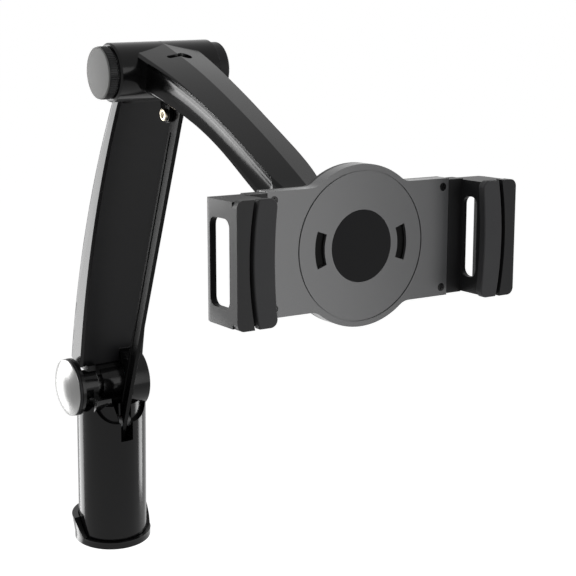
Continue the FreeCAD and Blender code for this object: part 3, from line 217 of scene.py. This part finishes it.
def grainedPanel(name, look):
    pattern = panelPattern
    finish = Finish(name)
    grain = finish.noise(pattern["grain"])
    cloud = finish.noise(pattern["cloud"])
    colour = finish.blend(cloud, grey(look["tone"]), shade(look["tone"], pattern["lighter"]))
    rough = look["gloss"] + cloud * pattern["cloudRough"]
    normal = finish.bump(grain, look["grain"], pattern["bump"])
    return finish.close(colour, rough, normal, IOR=look["ior"])


plateMoulding = {"tone": (0.046, 0.0464, 0.048), "gloss": 0.25, "grain": 0.000007, "ior": 1.5}
gripMoulding = {"tone": (0.0125, 0.0125, 0.013), "gloss": 0.36, "grain": 0.00001, "ior": 1.19}
knobMoulding = {"tone": (0.007, 0.007, 0.0075), "gloss": 0.3, "grain": 0.000006, "ior": 1.3}
mouldPattern = {"spark": 5200.0, "flow": 16.0, "darker": 0.93, "lighter": 1.07, "roughSwing": 0.05,
                "bump": 0.7}


def mouldedPlastic(name, look):
    pattern = mouldPattern
    swing = pattern["roughSwing"]
    finish = Finish(name)
    spark = finish.noise(pattern["spark"], detail=1.0)
    flow = finish.noise(pattern["flow"])
    tone = look["tone"]
    colour = finish.blend(flow, shade(tone, pattern["darker"]), shade(tone, pattern["lighter"]))
    rough = look["gloss"] + flow * swing + spark * swing - swing
    normal = finish.bump(spark, look["grain"], pattern["bump"])
    return finish.close(colour, rough, normal, IOR=look["ior"])


stripRubber = {"tone": (0.027, 0.027, 0.0285), "dust": (0.036, 0.036, 0.037), "rough": 0.6,
               "grain": 0.00002}
discRubber = {"tone": (0.0075, 0.0075, 0.008), "dust": (0.0105, 0.0105, 0.011), "rough": 0.8,
              "grain": 0.000015}
rubberPattern = {"grain": 2400.0, "cloud": 70.0, "roughSwing": 0.1, "bump": 0.8, "ior": 1.2}


def softRubber(name, look):
    pattern = rubberPattern
    swing = pattern["roughSwing"]
    finish = Finish(name)
    grain = finish.noise(pattern["grain"], detail=3.0)
    cloud = finish.noise(pattern["cloud"], detail=3.0)
    colour = finish.blend(cloud, grey(look["tone"]), grey(look["dust"]))
    rough = look["rough"] + cloud * swing - swing / 2.0
    normal = finish.bump(grain, look["grain"], pattern["bump"])
    return finish.close(colour, rough, normal, IOR=pattern["ior"])


domeSilver = {"tone": (0.2, 0.2, 0.198), "gloss": 0.28, "metallic": 1.0, "axis": (0.0, 0.0, 0.1094),
              "rings": 2600.0}
faceGrey = {"tone": (0.112, 0.112, 0.11), "gloss": 0.62, "metallic": 0.0, "axis": (0.0, -0.0664, 0.3176),
            "rings": 3400.0}
turnPattern = {"cloud": 60.0, "darker": 0.95, "ringRough": 0.08, "cloudRough": 0.05, "smoother": 0.06,
               "depth": 0.000002, "bump": 0.6, "ior": 1.25}


def turnedFace(name, look):
    # fine rings round an axis that runs along X
    pattern = turnPattern
    finish = Finish(name)
    kind = "ShaderNodeVectorMath"
    centred = finish.add(kind, {"operation": "SUBTRACT"}, {0: finish.place, 1: look["axis"]})
    flat = finish.add(kind, {"operation": "MULTIPLY"}, {0: centred, 1: (0.0, 1.0, 1.0)})
    reach = finish.add(kind, {"operation": "LENGTH"}, {0: flat}, "Value")
    waves = {"W": reach, "Scale": look["rings"], "Detail": 2.0}
    rings = finish.add("ShaderNodeTexNoise", {"noise_dimensions": "1D"}, waves, "Fac")
    cloud = finish.noise(pattern["cloud"])
    colour = finish.blend(rings, shade(look["tone"], pattern["darker"]), grey(look["tone"]))
    rough = look["gloss"] + rings * pattern["ringRough"] + cloud * pattern["cloudRough"]
    rough = rough - pattern["smoother"]
    normal = finish.bump(rings, pattern["depth"], pattern["bump"])
    return finish.close(colour, rough, normal, Metallic=look["metallic"], IOR=pattern["ior"])


brightSteel = {"tone": (0.56, 0.56, 0.57), "gloss": 0.28, "scratch": 2400.0}
nickelPlate = {"tone": (0.74, 0.67, 0.53), "gloss": 0.2, "scratch": 1800.0}
brassInsert = {"tone": (0.72, 0.53, 0.22), "gloss": 0.3, "scratch": 2200.0}
metalPattern = {"stretch": (0.08, 1.0, 1.0), "cloud": 90.0, "darker": 0.86, "scratchRough": 0.08,
                "cloudRough": 0.06, "smoother": 0.07, "depth": 0.000002, "bump": 0.5}


def plainMetal(name, look):
    pattern = metalPattern
    finish = Finish(name)
    lines = finish.noise(look["scratch"], stretch=pattern["stretch"])
    cloud = finish.noise(pattern["cloud"], detail=3.0)
    colour = finish.blend(cloud, shade(look["tone"], pattern["darker"]), grey(look["tone"]))
    rough = look["gloss"] + lines * pattern["scratchRough"] + cloud * pattern["cloudRough"]
    rough = rough - pattern["smoother"]
    normal = finish.bump(lines, pattern["depth"], pattern["bump"])
    return finish.close(colour, rough, normal, Metallic=1.0)


paleNylon = {"low": (0.62, 0.61, 0.57), "high": (0.72, 0.71, 0.67)}
darkNylon = {"low": (0.012, 0.012, 0.0125), "high": (0.018, 0.018, 0.0185)}
nylonPattern = {"flow": 80.0, "gloss": 0.38, "flowRough": 0.1, "depth": 0.00001, "bump": 0.5,
                "scatter": 0.1, "scatterDepth": 0.001}


def plainNylon(name, look):
    pattern = nylonPattern
    finish = Finish(name)
    flow = finish.noise(pattern["flow"], detail=3.0)
    colour = finish.blend(flow, grey(look["low"]), grey(look["high"]))
    rough = pattern["gloss"] + flow * pattern["flowRough"]
    normal = finish.bump(flow, pattern["depth"], pattern["bump"])
    return finish.close(colour, rough, normal, Subsurface_Weight=pattern["scatter"],
                        Subsurface_Scale=pattern["scatterDepth"])


# the record's material slots, and a few looks of single pieces
looks = {
    "tube": drawnTube("tubeCoat", tubeCoat),
    "cover": grainedPanel("coverCoat", coverCoat),
    "link": coatedMetal("linkCoat", linkCoat),
    "black_metal": coatedMetal("blackMetal", blackMetal),
    "black_steel": coatedMetal("blackSteel", blackSteel),
    "painted_slot_shade": grainedPanel("slotBlack", slotBlack),
    "black_plastic": mouldedPlastic("gripMoulding", gripMoulding),
    "plate_plastic": mouldedPlastic("plateMoulding", plateMoulding),
    "knob_plastic": mouldedPlastic("knobMoulding", knobMoulding),
    "knob_grey": turnedFace("faceGrey", faceGrey),
    "cap_silver": turnedFace("domeSilver", domeSilver),
    "bright_steel": plainMetal("brightSteel", brightSteel),
    "nickel": plainMetal("nickelPlate", nickelPlate),
    "brass": plainMetal("brassInsert", brassInsert),
    "nylon": plainNylon("paleNylon", paleNylon),
    "dark_nylon": plainNylon("darkNylon", darkNylon),
    "pad_rubber": softRubber("stripRubber", stripRubber),
    "centre_rubber": softRubber("discRubber", discRubber),
}
print("finishes made:", len(looks))


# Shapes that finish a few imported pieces

holderPose = {"place": (0.0, -0.265, 0.2577), "tilt": -4.8, "roll": 1.5}
holderTilt = Matrix.Rotation(math.radians(holderPose["tilt"]), 4, "X")
holderRoll = Matrix.Rotation(math.radians(holderPose["roll"]), 4, "Y")
holderPlace = Matrix.Translation(holderPose["place"]) @ holderTilt @ holderRoll


def addBlock(work, place, low, high):
    # a block from one corner to the other in the frame of its place
    made = bmesh.ops.create_cube(work, size=1.0)
    span = [b - a for a, b in zip(low, high)]
    middle = [(a + b) / 2.0 for a, b in zip(low, high)]
    sized = Matrix.Translation(middle) @ Matrix.Diagonal(span + [1.0])
    bmesh.ops.transform(work, matrix=place @ sized, verts=made["verts"])


# flush shoulders that carry each grip's front over to the end of the plate
gripShoulder = {"near": 0.0523, "far": 0.0610, "front": 0.0, "back": 0.0082, "half": 0.0280}


def addSideBlock(work, side, sizes):
    # a block left (-1) or right (1) of the holder's middle
    near, far = sorted((side * sizes["near"], side * sizes["far"]))
    low = (near, sizes["front"], -sizes["half"])
    high = (far, sizes["back"], sizes["half"])
    addBlock(work, holderPlace, low, high)


# the tube's wall up to its rim beside the left ear: axis is the height of the lower hinge
tubeCorner = {"axis": 0.1094, "outer": 0.02248, "inner": 0.02, "rim": 0.098, "seat": 0.01965,
              "clearance": 0.0003, "edge": -0.01866, "steps": 24}


def addTubeCorner(work):
    corner = tubeCorner
    columns = []
    for k in range(corner["steps"] + 1):
        share = 2.0 * k / corner["steps"] - 1.0
        column = []
        for radius in (corner["outer"], corner["inner"]):
            angle = math.pi + share * math.acos(-corner["edge"] / radius)
            x = radius * math.cos(angle)
            y = radius * math.sin(angle)
            foot = corner["axis"] - math.sqrt(corner["seat"] ** 2 - y * y) - corner["clearance"]
            column.append(work.verts.new((x, y, foot)))
            column.append(work.verts.new((x, y, corner["rim"])))
        columns.append(column)
    for first, second in zip(columns, columns[1:]):
        for a, b in ((0, 1), (1, 3), (3, 2), (2, 0)):
            work.faces.new((first[a], first[b], second[b], second[a]))
    made = [work.faces.new([columns[0][k] for k in (0, 1, 3, 2)]),
            work.faces.new([columns[-1][k] for k in (0, 2, 3, 1)])]
    made += [face for column in columns for vert in column for face in vert.link_faces]
    bmesh.ops.recalc_face_normals(work, faces=list(set(made)))


# a sleeve round the lower arm's slim hub, and a heel under its left wall
hubSleeve = {"left": -0.0098, "right": -0.0051, "radius": 0.0099, "sides": 64}
armHeel = {"low": (-0.0186, -0.004, 0.1192), "high": (-0.0128, 0.008, 0.1228)}


def addHubSleeve(work):
    sleeve = hubSleeve
    centre = ((sleeve["right"] + sleeve["left"]) / 2.0, 0.0, tubeCorner["axis"])
    along = Matrix.Translation(centre) @ Matrix.Rotation(math.radians(90.0), 4, "Y")
    bmesh.ops.create_cone(work, cap_ends=True, segments=sleeve["sides"], radius1=sleeve["radius"],
                          radius2=sleeve["radius"], depth=sleeve["right"] - sleeve["left"], matrix=along)
    addBlock(work, Matrix.Identity(4), armHeel["low"], armHeel["high"])


def addShapes(work, node):
    if node == "left_grip_frame":
        addSideBlock(work, -1.0, gripShoulder)
    elif node == "right_grip_frame":
        addSideBlock(work, 1.0, gripShoulder)
    elif node == "column_tube":
        addTubeCorner(work)
    elif node == "lower_arm_casting":
        addHubSleeve(work)


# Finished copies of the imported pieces

skinJoin = {"merge": 0.000003, "sliver": 0.000001, "flat": 0.6}
edgeFinish = {"segments": 2, "angle": 32.0, "smooth": 38.0}


def looseCopy(node):
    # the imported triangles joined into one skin, with flat areas made whole again
    work = bmesh.new()
    work.from_mesh(cadNodes[node].data)
    bmesh.ops.remove_doubles(work, verts=work.verts, dist=skinJoin["merge"])
    bmesh.ops.dissolve_degenerate(work, edges=work.edges, dist=skinJoin["sliver"])
    flat = math.radians(skinJoin["flat"])
    bmesh.ops.dissolve_limit(work, angle_limit=flat, verts=work.verts, edges=work.edges)
    return work


def meshObject(name, mesh, look, smooth=edgeFinish["smooth"]):
    for attribute in [a for a in mesh.attributes if a.name == "custom_normal"]:
        mesh.attributes.remove(attribute)
    mesh.materials.clear()
    mesh.materials.append(look)
    mesh.shade_smooth()
    mesh.set_sharp_from_angle(angle=math.radians(smooth))
    piece = bpy.data.objects.new(name, mesh)
    bpy.context.scene.collection.objects.link(piece)
    return piece


def softenEdges(piece, width):
    bevel = piece.modifiers.new("edge", "BEVEL")
    bevel.width = width
    bevel.segments = edgeFinish["segments"]
    bevel.limit_method = "ANGLE"
    bevel.angle_limit = math.radians(edgeFinish["angle"])
    bevel.use_clamp_overlap = True
    bevel.miter_outer = "MITER_ARC"
    weigh = piece.modifiers.new("faces", "WEIGHTED_NORMAL")
    weigh.keep_sharp = True


def stand(piece, node):
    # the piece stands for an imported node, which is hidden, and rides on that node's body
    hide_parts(node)
    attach(piece, nodeBody[node])


def dress(node, width):
    work = looseCopy(node)
    addShapes(work, node)
    mesh = bpy.data.meshes.new(node + "_skin")
    work.to_mesh(mesh)
    work.free()
    piece = meshObject(node + "_finished", mesh, looks[specialLook.get(node, nodeSlot[node])])
    if width:
        softenEdges(piece, width)
    stand(piece, node)


# how wide each piece's softened edges are
footEdges = {"foot_cup": 0.0004, "mount_insert": 0.0003}
columnEdges = {"column_tube": 0.0003, "hinge_head": 0.0005, "hinge_cap_disc": 0.0003,
               "hinge_cap_dome": 0.0004}
armEdges = {"lower_arm_casting": 0.0006, "lower_arm_cover": 0.0003, "cover_screws": 0.00015,
            "stay_link": 0.00025}
# the upper arm keeps its packed skin, whose curved channel is smoother than a bevelled copy
upperEdges = {"end_cap": 0.0003, "knob_washer": 0.0002, "link_bolt_upper": 0.0003,
              "link_nut_upper": 0.00025}
tiltEdges = {"pan_yoke": 0.0006, "pan_pin": 0.0003, "tilt_fork": 0.0005, "tilt_pin": 0.0003,
             "tilt_nut": 0.00025}
# the front plate keeps its packed edges, which stay clean round the curved slots
holderEdges = {"front_plate": 0.0, "back_cover": 0.0005, "centre_pad": 0.0002,
               "left_grip_frame": 0.0005, "right_grip_frame": 0.0005,
               "left_grip_pad": 0.0005, "right_grip_pad": 0.0005}
# the stay link takes the darker link coat, which is painted shade
specialLook = {"column_tube": "tube", "lower_arm_cover": "cover", "stay_link": "link",
               "left_grip_frame": "black_plastic", "right_grip_frame": "black_plastic"}

for group in (footEdges, columnEdges, armEdges, upperEdges, tiltEdges, holderEdges):
    for nodeName, edgeWidth in group.items():
        dress(nodeName, edgeWidth)

# painted shade: near-black floors of the two curved slots, inside the plate's front skin, stand in for
# the shade in the slots
slotShadeFloor = {"near": 0.0205, "far": 0.0270, "front": 0.0016, "back": 0.0019, "half": 0.0096}


def makeSlotShadeFloors():
    work = bmesh.new()
    for side in (-1.0, 1.0):
        addSideBlock(work, side, slotShadeFloor)
    mesh = bpy.data.meshes.new("slot_shade_floors")
    work.to_mesh(mesh)
    work.free()
    # the floors take the painted slot shade
    piece = meshObject("slot_shade_floors", mesh, looks["painted_slot_shade"])
    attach(piece, "holder")


makeSlotShadeFloors()
print("finished copies made")


# Geometry node pieces

class Recipe(Builder):
    # a geometry tree with named sizes, turned into a plain mesh

    def __init__(self, name, sizes):
        tree = bpy.data.node_groups.new(name, "GeometryNodeTree")
        super().__init__(tree)
        tree.interface.new_socket("Geometry", in_out="OUTPUT", socket_type="NodeSocketGeometry")
        self.sizes = sizes
        self.keys = {}
        for key, value in sizes.items():
            kind = "NodeSocketInt" if isinstance(value, int) else "NodeSocketFloat"
            self.keys[key] = tree.interface.new_socket(key, in_out="INPUT", socket_type=kind).identifier
        self.group = tree.nodes.new("NodeGroupInput")

    def size(self, key):
        return Signal(self, self.group.outputs[key])

    def rod(self, sides, radius, depth):
        sockets = {"Vertices": sides, "Radius": self.size(radius), "Depth": self.size(depth)}
        return self.add("GeometryNodeMeshCylinder", {}, sockets)

    def raised(self, shape, height):
        lift = self.add("ShaderNodeCombineXYZ", {}, {2: height})
        return self.add("GeometryNodeTransform", {}, {"Geometry": shape, "Translation": lift})

    def finish(self, shape, look):
        real = self.add("GeometryNodeRealizeInstances", {}, {"Geometry": shape})
        painted = self.add("GeometryNodeSetMaterial", {}, {"Geometry": real, "Material": look})
        self.add("NodeGroupOutput", {}, {"Geometry": painted})

    def mesh(self, name, place):
        carrier = bpy.data.objects.new(name + "_recipe", bpy.data.meshes.new(name + "_seed"))
        bpy.context.scene.collection.objects.link(carrier)
        modifier = carrier.modifiers.new("recipe", "NODES")
        modifier.node_group = self.tree
        for key, identifier in self.keys.items():
            modifier[identifier] = self.sizes[key]
        evaluated = carrier.evaluated_get(bpy.context.evaluated_depsgraph_get())
        made = bpy.data.meshes.new_from_object(evaluated)
        carrier.modifiers.remove(modifier)
        bpy.data.objects.remove(carrier)
        made.name = name
        made.transform(place)
        return made


def joined(name, meshes, look, smooth=edgeFinish["smooth"]):
    # several meshes as one piece with outward faces
    work = bmesh.new()
    for mesh in meshes:
        work.from_mesh(mesh)
    bmesh.ops.recalc_face_normals(work, faces=work.faces)
    whole = bpy.data.meshes.new(name)
    work.to_mesh(whole)
    work.free()
    return meshObject(name, whole, look, smooth)


lathe = {"segments": 96, "onAxis": 0.0000001}


def turned(profile):
    # closed body turned about X from (x, radius) pairs that start and end on the axis
    segments = lathe["segments"]
    steps = [2.0 * math.pi * k / segments for k in range(segments)]
    work = bmesh.new()
    rings = []
    for x, radius in profile:
        if radius < lathe["onAxis"]:
            rings.append([work.verts.new((x, 0.0, 0.0))])
        else:
            rings.append([work.verts.new((x, radius * math.cos(a), radius * math.sin(a))) for a in steps])
    for first, second in zip(rings, rings[1:]):
        for k in range(segments):
            after = (k + 1) % segments
            if len(first) == 1:
                work.faces.new((first[0], second[k], second[after]))
            elif len(second) == 1:
                work.faces.new((first[k], second[0], first[after]))
            else:
                work.faces.new((first[k], second[k], second[after], first[after]))
    bmesh.ops.recalc_face_normals(work, faces=work.faces)
    mesh = bpy.data.meshes.new("turned")
    work.to_mesh(mesh)
    work.free()
    return mesh


def roundSizes(low, high):
    # centre, radius, front and back of a round box that lies along X
    return (low + high) / 2.0, (high.z - low.z) / 2.0, low.x, high.x


# Knob: a turned core with fine gripping ridges round it

knobGrip = {"ridges": 72, "ridgeSides": 8, "ridgeWidth": 0.00042, "ridgeRise": 0.00038,
            "ridgeSink": 0.00006, "ridgeShorter": 0.0011, "backChamfer": 0.0006, "frontChamfer": 0.0003}


def ridgeRing(radius, length, look):
    recipe = Recipe("ridgeRing", {"Ridges": knobGrip["ridges"], "Radius": radius,
                                  "Width": knobGrip["ridgeWidth"], "Length": length})
    circle = {"Vertices": recipe.size("Ridges"), "Radius": recipe.size("Radius")}
    ring = recipe.add("GeometryNodeMeshCircle", {}, circle)
    ridge = recipe.rod(knobGrip["ridgeSides"], "Width", "Length")
    placed = recipe.add("GeometryNodeInstanceOnPoints", {}, {"Points": ring, "Instance": ridge})
    recipe.finish(placed, look)
    return recipe.mesh("ridges", Matrix.Identity(4))


def makeKnob():
    low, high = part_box("tension_knob")
    centre, radius, front, back = roundSizes(low, high)
    look = looks["knob_plastic"]
    core = radius - knobGrip["ridgeRise"]
    ridges = ridgeRing(core - knobGrip["ridgeSink"], back - front - knobGrip["ridgeShorter"], look)
    ridges.transform(Matrix.Translation(centre) @ Matrix.Rotation(math.radians(90.0), 4, "Y"))
    behind = knobGrip["backChamfer"]
    ahead = knobGrip["frontChamfer"]
    profile = [(back, 0.0), (back, core - behind), (back - behind, core),
               (front + ahead, core), (front, core - ahead), (front, 0.0)]
    body = turned(profile)
    body.transform(Matrix.Translation((0.0, centre.y, centre.z)))
    stand(joined("tension_knob_finished", [body, ridges], look), "tension_knob")


knobRim = {"wall": 0.00035, "roundStart": 0.0001, "roundIn": 0.00025, "flatIn": 0.0007}


def makeKnobFace():
    low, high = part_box("knob_face")
    centre, radius, front, back = roundSizes(low, high)
    profile = [(back, 0.0), (back, radius), (front + knobRim["wall"], radius),
               (front + knobRim["roundStart"], radius - knobRim["roundIn"]),
               (front, radius - knobRim["flatIn"]), (front, 0.0)]
    face = turned(profile)
    face.transform(Matrix.Translation((0.0, centre.y, centre.z)))
    stand(joined("knob_face_finished", [face], looks["knob_grey"]), "knob_face")


makeKnob()
makeKnobFace()
print("knob made")


# Plate screws: cross-recessed heads at the holder's four corners, each turned a little differently

plateScrews = {"across": 0.097, "up": 0.0492, "headRadius": 0.0019, "headDepth": 0.0010, "headSides": 40,
               "sink": 0.00015, "crossWidth": 0.00045, "crossReach": 0.0026, "crossDepth": 0.0006,
               "shank": 0.0011, "shankLength": 0.0068, "shankSides": 20, "turn": 20.0, "turnSwing": 35.0}


def crossHeads(spots, settings, look):
    # heads stand in the X-Y plane and look along +Z
    sizes = {"Radius": settings["headRadius"], "Depth": settings["headDepth"],
             "Cross width": settings["crossWidth"], "Cross reach": settings["crossReach"],
             "Cross depth": settings["crossDepth"], "Shank": settings["shank"],
             "Shank length": settings["shankLength"]}
    recipe = Recipe("crossHeads", sizes)
    disc = recipe.rod(settings["headSides"], "Radius", "Depth")
    bars = []
    for wide, tall in (("Cross reach", "Cross width"), ("Cross width", "Cross reach")):
        sides = {0: recipe.size(wide), 1: recipe.size(tall), 2: recipe.size("Cross depth") * 2.0}
        span = recipe.add("ShaderNodeCombineXYZ", {}, sides)
        bar = recipe.add("GeometryNodeMeshCube", {}, {"Size": span})
        bars.append(recipe.raised(bar, recipe.size("Depth") * 0.5))
    cut = {"Mesh 1": disc, "Mesh 2": bars}
    head = recipe.add("GeometryNodeMeshBoolean", {"operation": "DIFFERENCE"}, cut)
    shank = recipe.rod(settings["shankSides"], "Shank", "Shank length")
    shank = recipe.raised(shank, recipe.size("Shank length") * -0.5)
    screw = recipe.add("GeometryNodeJoinGeometry", {}, {"Geometry": [head, shank]})
    recipe.finish(screw, look)
    return [recipe.mesh("crossHead%d" % k, place) for k, place in enumerate(spots)]


def makePlateScrews():
    screws = plateScrews
    half = screws["headDepth"] / 2.0 + screws["sink"]
    outward = Matrix.Rotation(math.radians(90.0), 4, "X")
    spots = []
    for sx in (-1.0, 1.0):
        for sz in (-1.0, 1.0):
            corner = Matrix.Translation((sx * screws["across"] / 2.0, half, sz * screws["up"] / 2.0))
            angle = math.radians(screws["turn"] + screws["turnSwing"] * sx * sz)
            spots.append(holderPlace @ corner @ (outward @ Matrix.Rotation(angle, 4, "Z")))
    look = looks[nodeSlot["plate_screws"]]
    stand(joined("plate_screws_finished", crossHeads(spots, screws, look), look), "plate_screws")


makePlateScrews()
print("screws made")


# Foot insert thread: a fine helical ridge inside the brass insert

footThread = {"turns": 6.0, "radius": 0.0034, "ridge": 0.00042, "ridgeSides": 3, "height": 0.0074,
              "start": 0.0003, "steps": 40, "smooth": 60.0}


def makeFootThread():
    thread = footThread
    recipe = Recipe("footThread", {"Turns": thread["turns"], "Radius": thread["radius"],
                                   "Ridge": thread["ridge"], "Height": thread["height"]})
    helix = {"Resolution": thread["steps"], "Rotations": recipe.size("Turns"),
             "Start Radius": recipe.size("Radius"), "End Radius": recipe.size("Radius"),
             "Height": recipe.size("Height")}
    line = recipe.add("GeometryNodeCurveSpiral", {}, helix)
    section = {"Resolution": thread["ridgeSides"], "Radius": recipe.size("Ridge")}
    edge = recipe.add("GeometryNodeCurvePrimitiveCircle", {"mode": "RADIUS"}, section)
    sweep = {"Curve": line, "Profile Curve": edge, "Fill Caps": True}
    recipe.finish(recipe.add("GeometryNodeCurveToMesh", {}, sweep), looks["brass"])
    mesh = recipe.mesh("thread", Matrix.Translation((0.0, 0.0, thread["start"])))
    piece = joined("foot_thread_ridge", [mesh], looks["brass"], thread["smooth"])
    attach(piece, "foot")


makeFootThread()
print("foot thread made")


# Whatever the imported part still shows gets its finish

darkRings = ["hinge_washers", "link_spacers", "pinion_gear"]

for nodeName, thing in cadNodes.items():
    if not thing.hide_render:
        thing.data.materials.clear()
        lookName = "dark_nylon" if nodeName in darkRings else nodeSlot[nodeName]
        thing.data.materials.append(looks[lookName])


# Studio

# angles in degrees, and the focal length in pixels of the photograph's frame
camera = {"place": (-0.366872, -0.749946, 0.406893), "yaw": 33.92, "pitch": 15.68, "roll": 1.46,
          "focal": 1341.114, "frameWidth": 576.0, "sensor": 36.0, "nearest": 0.01}


def makeCamera():
    yaw, pitch, roll = (math.radians(camera[key]) for key in ("yaw", "pitch", "roll"))
    ahead = Vector((math.sin(yaw) * math.cos(pitch), math.cos(yaw) * math.cos(pitch), -math.sin(pitch)))
    right = Vector((math.cos(yaw), -math.sin(yaw), 0.0))
    up = right.cross(ahead)
    side = right * math.cos(roll) + up * math.sin(roll)
    top = up * math.cos(roll) - right * math.sin(roll)
    turn = Matrix((side, top, -ahead)).transposed().to_4x4()
    lens = bpy.data.cameras.new("camera")
    lens.sensor_width = camera["sensor"]
    lens.lens = camera["focal"] / camera["frameWidth"] * camera["sensor"]
    lens.clip_start = camera["nearest"]
    cameraObject = bpy.data.objects.new("camera", lens)
    cameraObject.matrix_world = Matrix.Translation(camera["place"]) @ turn
    bpy.context.scene.collection.objects.link(cameraObject)
    bpy.context.scene.camera = cameraObject


# each softbox: where it stands, the point it looks at, its size, and its brightness where white is 1
softboxes = {
    "backLeft": {"place": (-0.319, 0.580, 0.165), "aim": (-0.071, 0.012, 0.165),
                 "width": 0.39, "height": 1.17, "glow": 5.2},
    "flank": {"place": (-0.561, 0.473, 0.32), "aim": (-0.313, -0.095, 0.32),
              "width": 0.28, "height": 0.40, "glow": 8.0},
    "right": {"place": (0.59, -0.047, 0.225), "aim": (0.0, -0.01, 0.225),
              "width": 0.19, "height": 0.90, "glow": 8.0},
    "frontRight": {"place": (0.27, -0.98, 0.30), "aim": (0.0, -0.26, 0.30),
                   "width": 0.42, "height": 0.80, "glow": 2.8},
    "top": {"place": (-0.15, -0.10, 1.10), "aim": (0.0, -0.10, 0.0),
            "width": 0.80, "height": 0.80, "glow": 0.5},
}


def makeLights():
    for name, box in softboxes.items():
        lamp = bpy.data.lights.new(name, "AREA")
        lamp.shape = "RECTANGLE"
        lamp.size = box["width"]
        lamp.size_y = box["height"]
        lamp.energy = box["glow"] * math.pi * box["width"] * box["height"]
        lampObject = bpy.data.objects.new(name, lamp)
        aim = Vector(box["aim"]) - Vector(box["place"])
        facing = aim.to_track_quat("-Z", "Y").to_matrix().to_4x4()
        lampObject.matrix_world = Matrix.Translation(box["place"]) @ facing
        lampObject.visible_camera = False
        bpy.context.scene.collection.objects.link(lampObject)


backdrop = {"ambient": 0.5, "floorTone": 0.8, "floorGlow": 0.60, "floorLevel": -0.43, "floorReach": 60.0}


def seenRays(builder):
    # 1 for rays that show the background: from the camera, in reflections and through clear parts
    rays = builder.tree.nodes.new("ShaderNodeLightPath")
    direct, glossy, clear = (Signal(builder, rays.outputs["Is %s Ray" % kind])
                             for kind in ("Camera", "Glossy", "Transmission"))
    return direct.larger(glossy).larger(clear)


def makeSky():
    world = bpy.data.worlds.new("studio")
    world.use_nodes = True
    bpy.context.scene.world = world
    world.node_tree.nodes.clear()
    sky = Builder(world.node_tree)
    strength = backdrop["ambient"] + seenRays(sky) * (1.0 - backdrop["ambient"])
    light = sky.add("ShaderNodeBackground", {}, {"Color": grey(1.0), "Strength": strength})
    sky.add("ShaderNodeOutputWorld", {}, {"Surface": light})


def floorPaint():
    paint = bpy.data.materials.new("paleFloor")
    paint.use_nodes = True
    paint.node_tree.nodes.clear()
    ground = Builder(paint.node_tree)
    lit = ground.add("ShaderNodeBsdfDiffuse", {}, {"Color": grey(backdrop["floorTone"])})
    strength = seenRays(ground) * backdrop["floorGlow"]
    glow = ground.add("ShaderNodeEmission", {}, {"Color": grey(1.0), "Strength": strength})
    both = ground.add("ShaderNodeAddShader", {}, {0: lit, 1: glow})
    ground.add("ShaderNodeOutputMaterial", {}, {"Surface": both})
    return paint


def makeFloor():
    reach = backdrop["floorReach"]
    mesh = bpy.data.meshes.new("floor")
    corners = [(-reach, -reach), (reach, -reach), (reach, reach), (-reach, reach)]
    mesh.from_pydata([(x, y, backdrop["floorLevel"]) for x, y in corners], [], [(0, 1, 2, 3)])
    mesh.materials.append(floorPaint())
    floor = bpy.data.objects.new("floor", mesh)
    bpy.context.scene.collection.objects.link(floor)


makeCamera()
makeLights()
makeSky()
makeFloor()
bpy.context.scene.view_settings.view_transform = "Standard"
print("studio set")
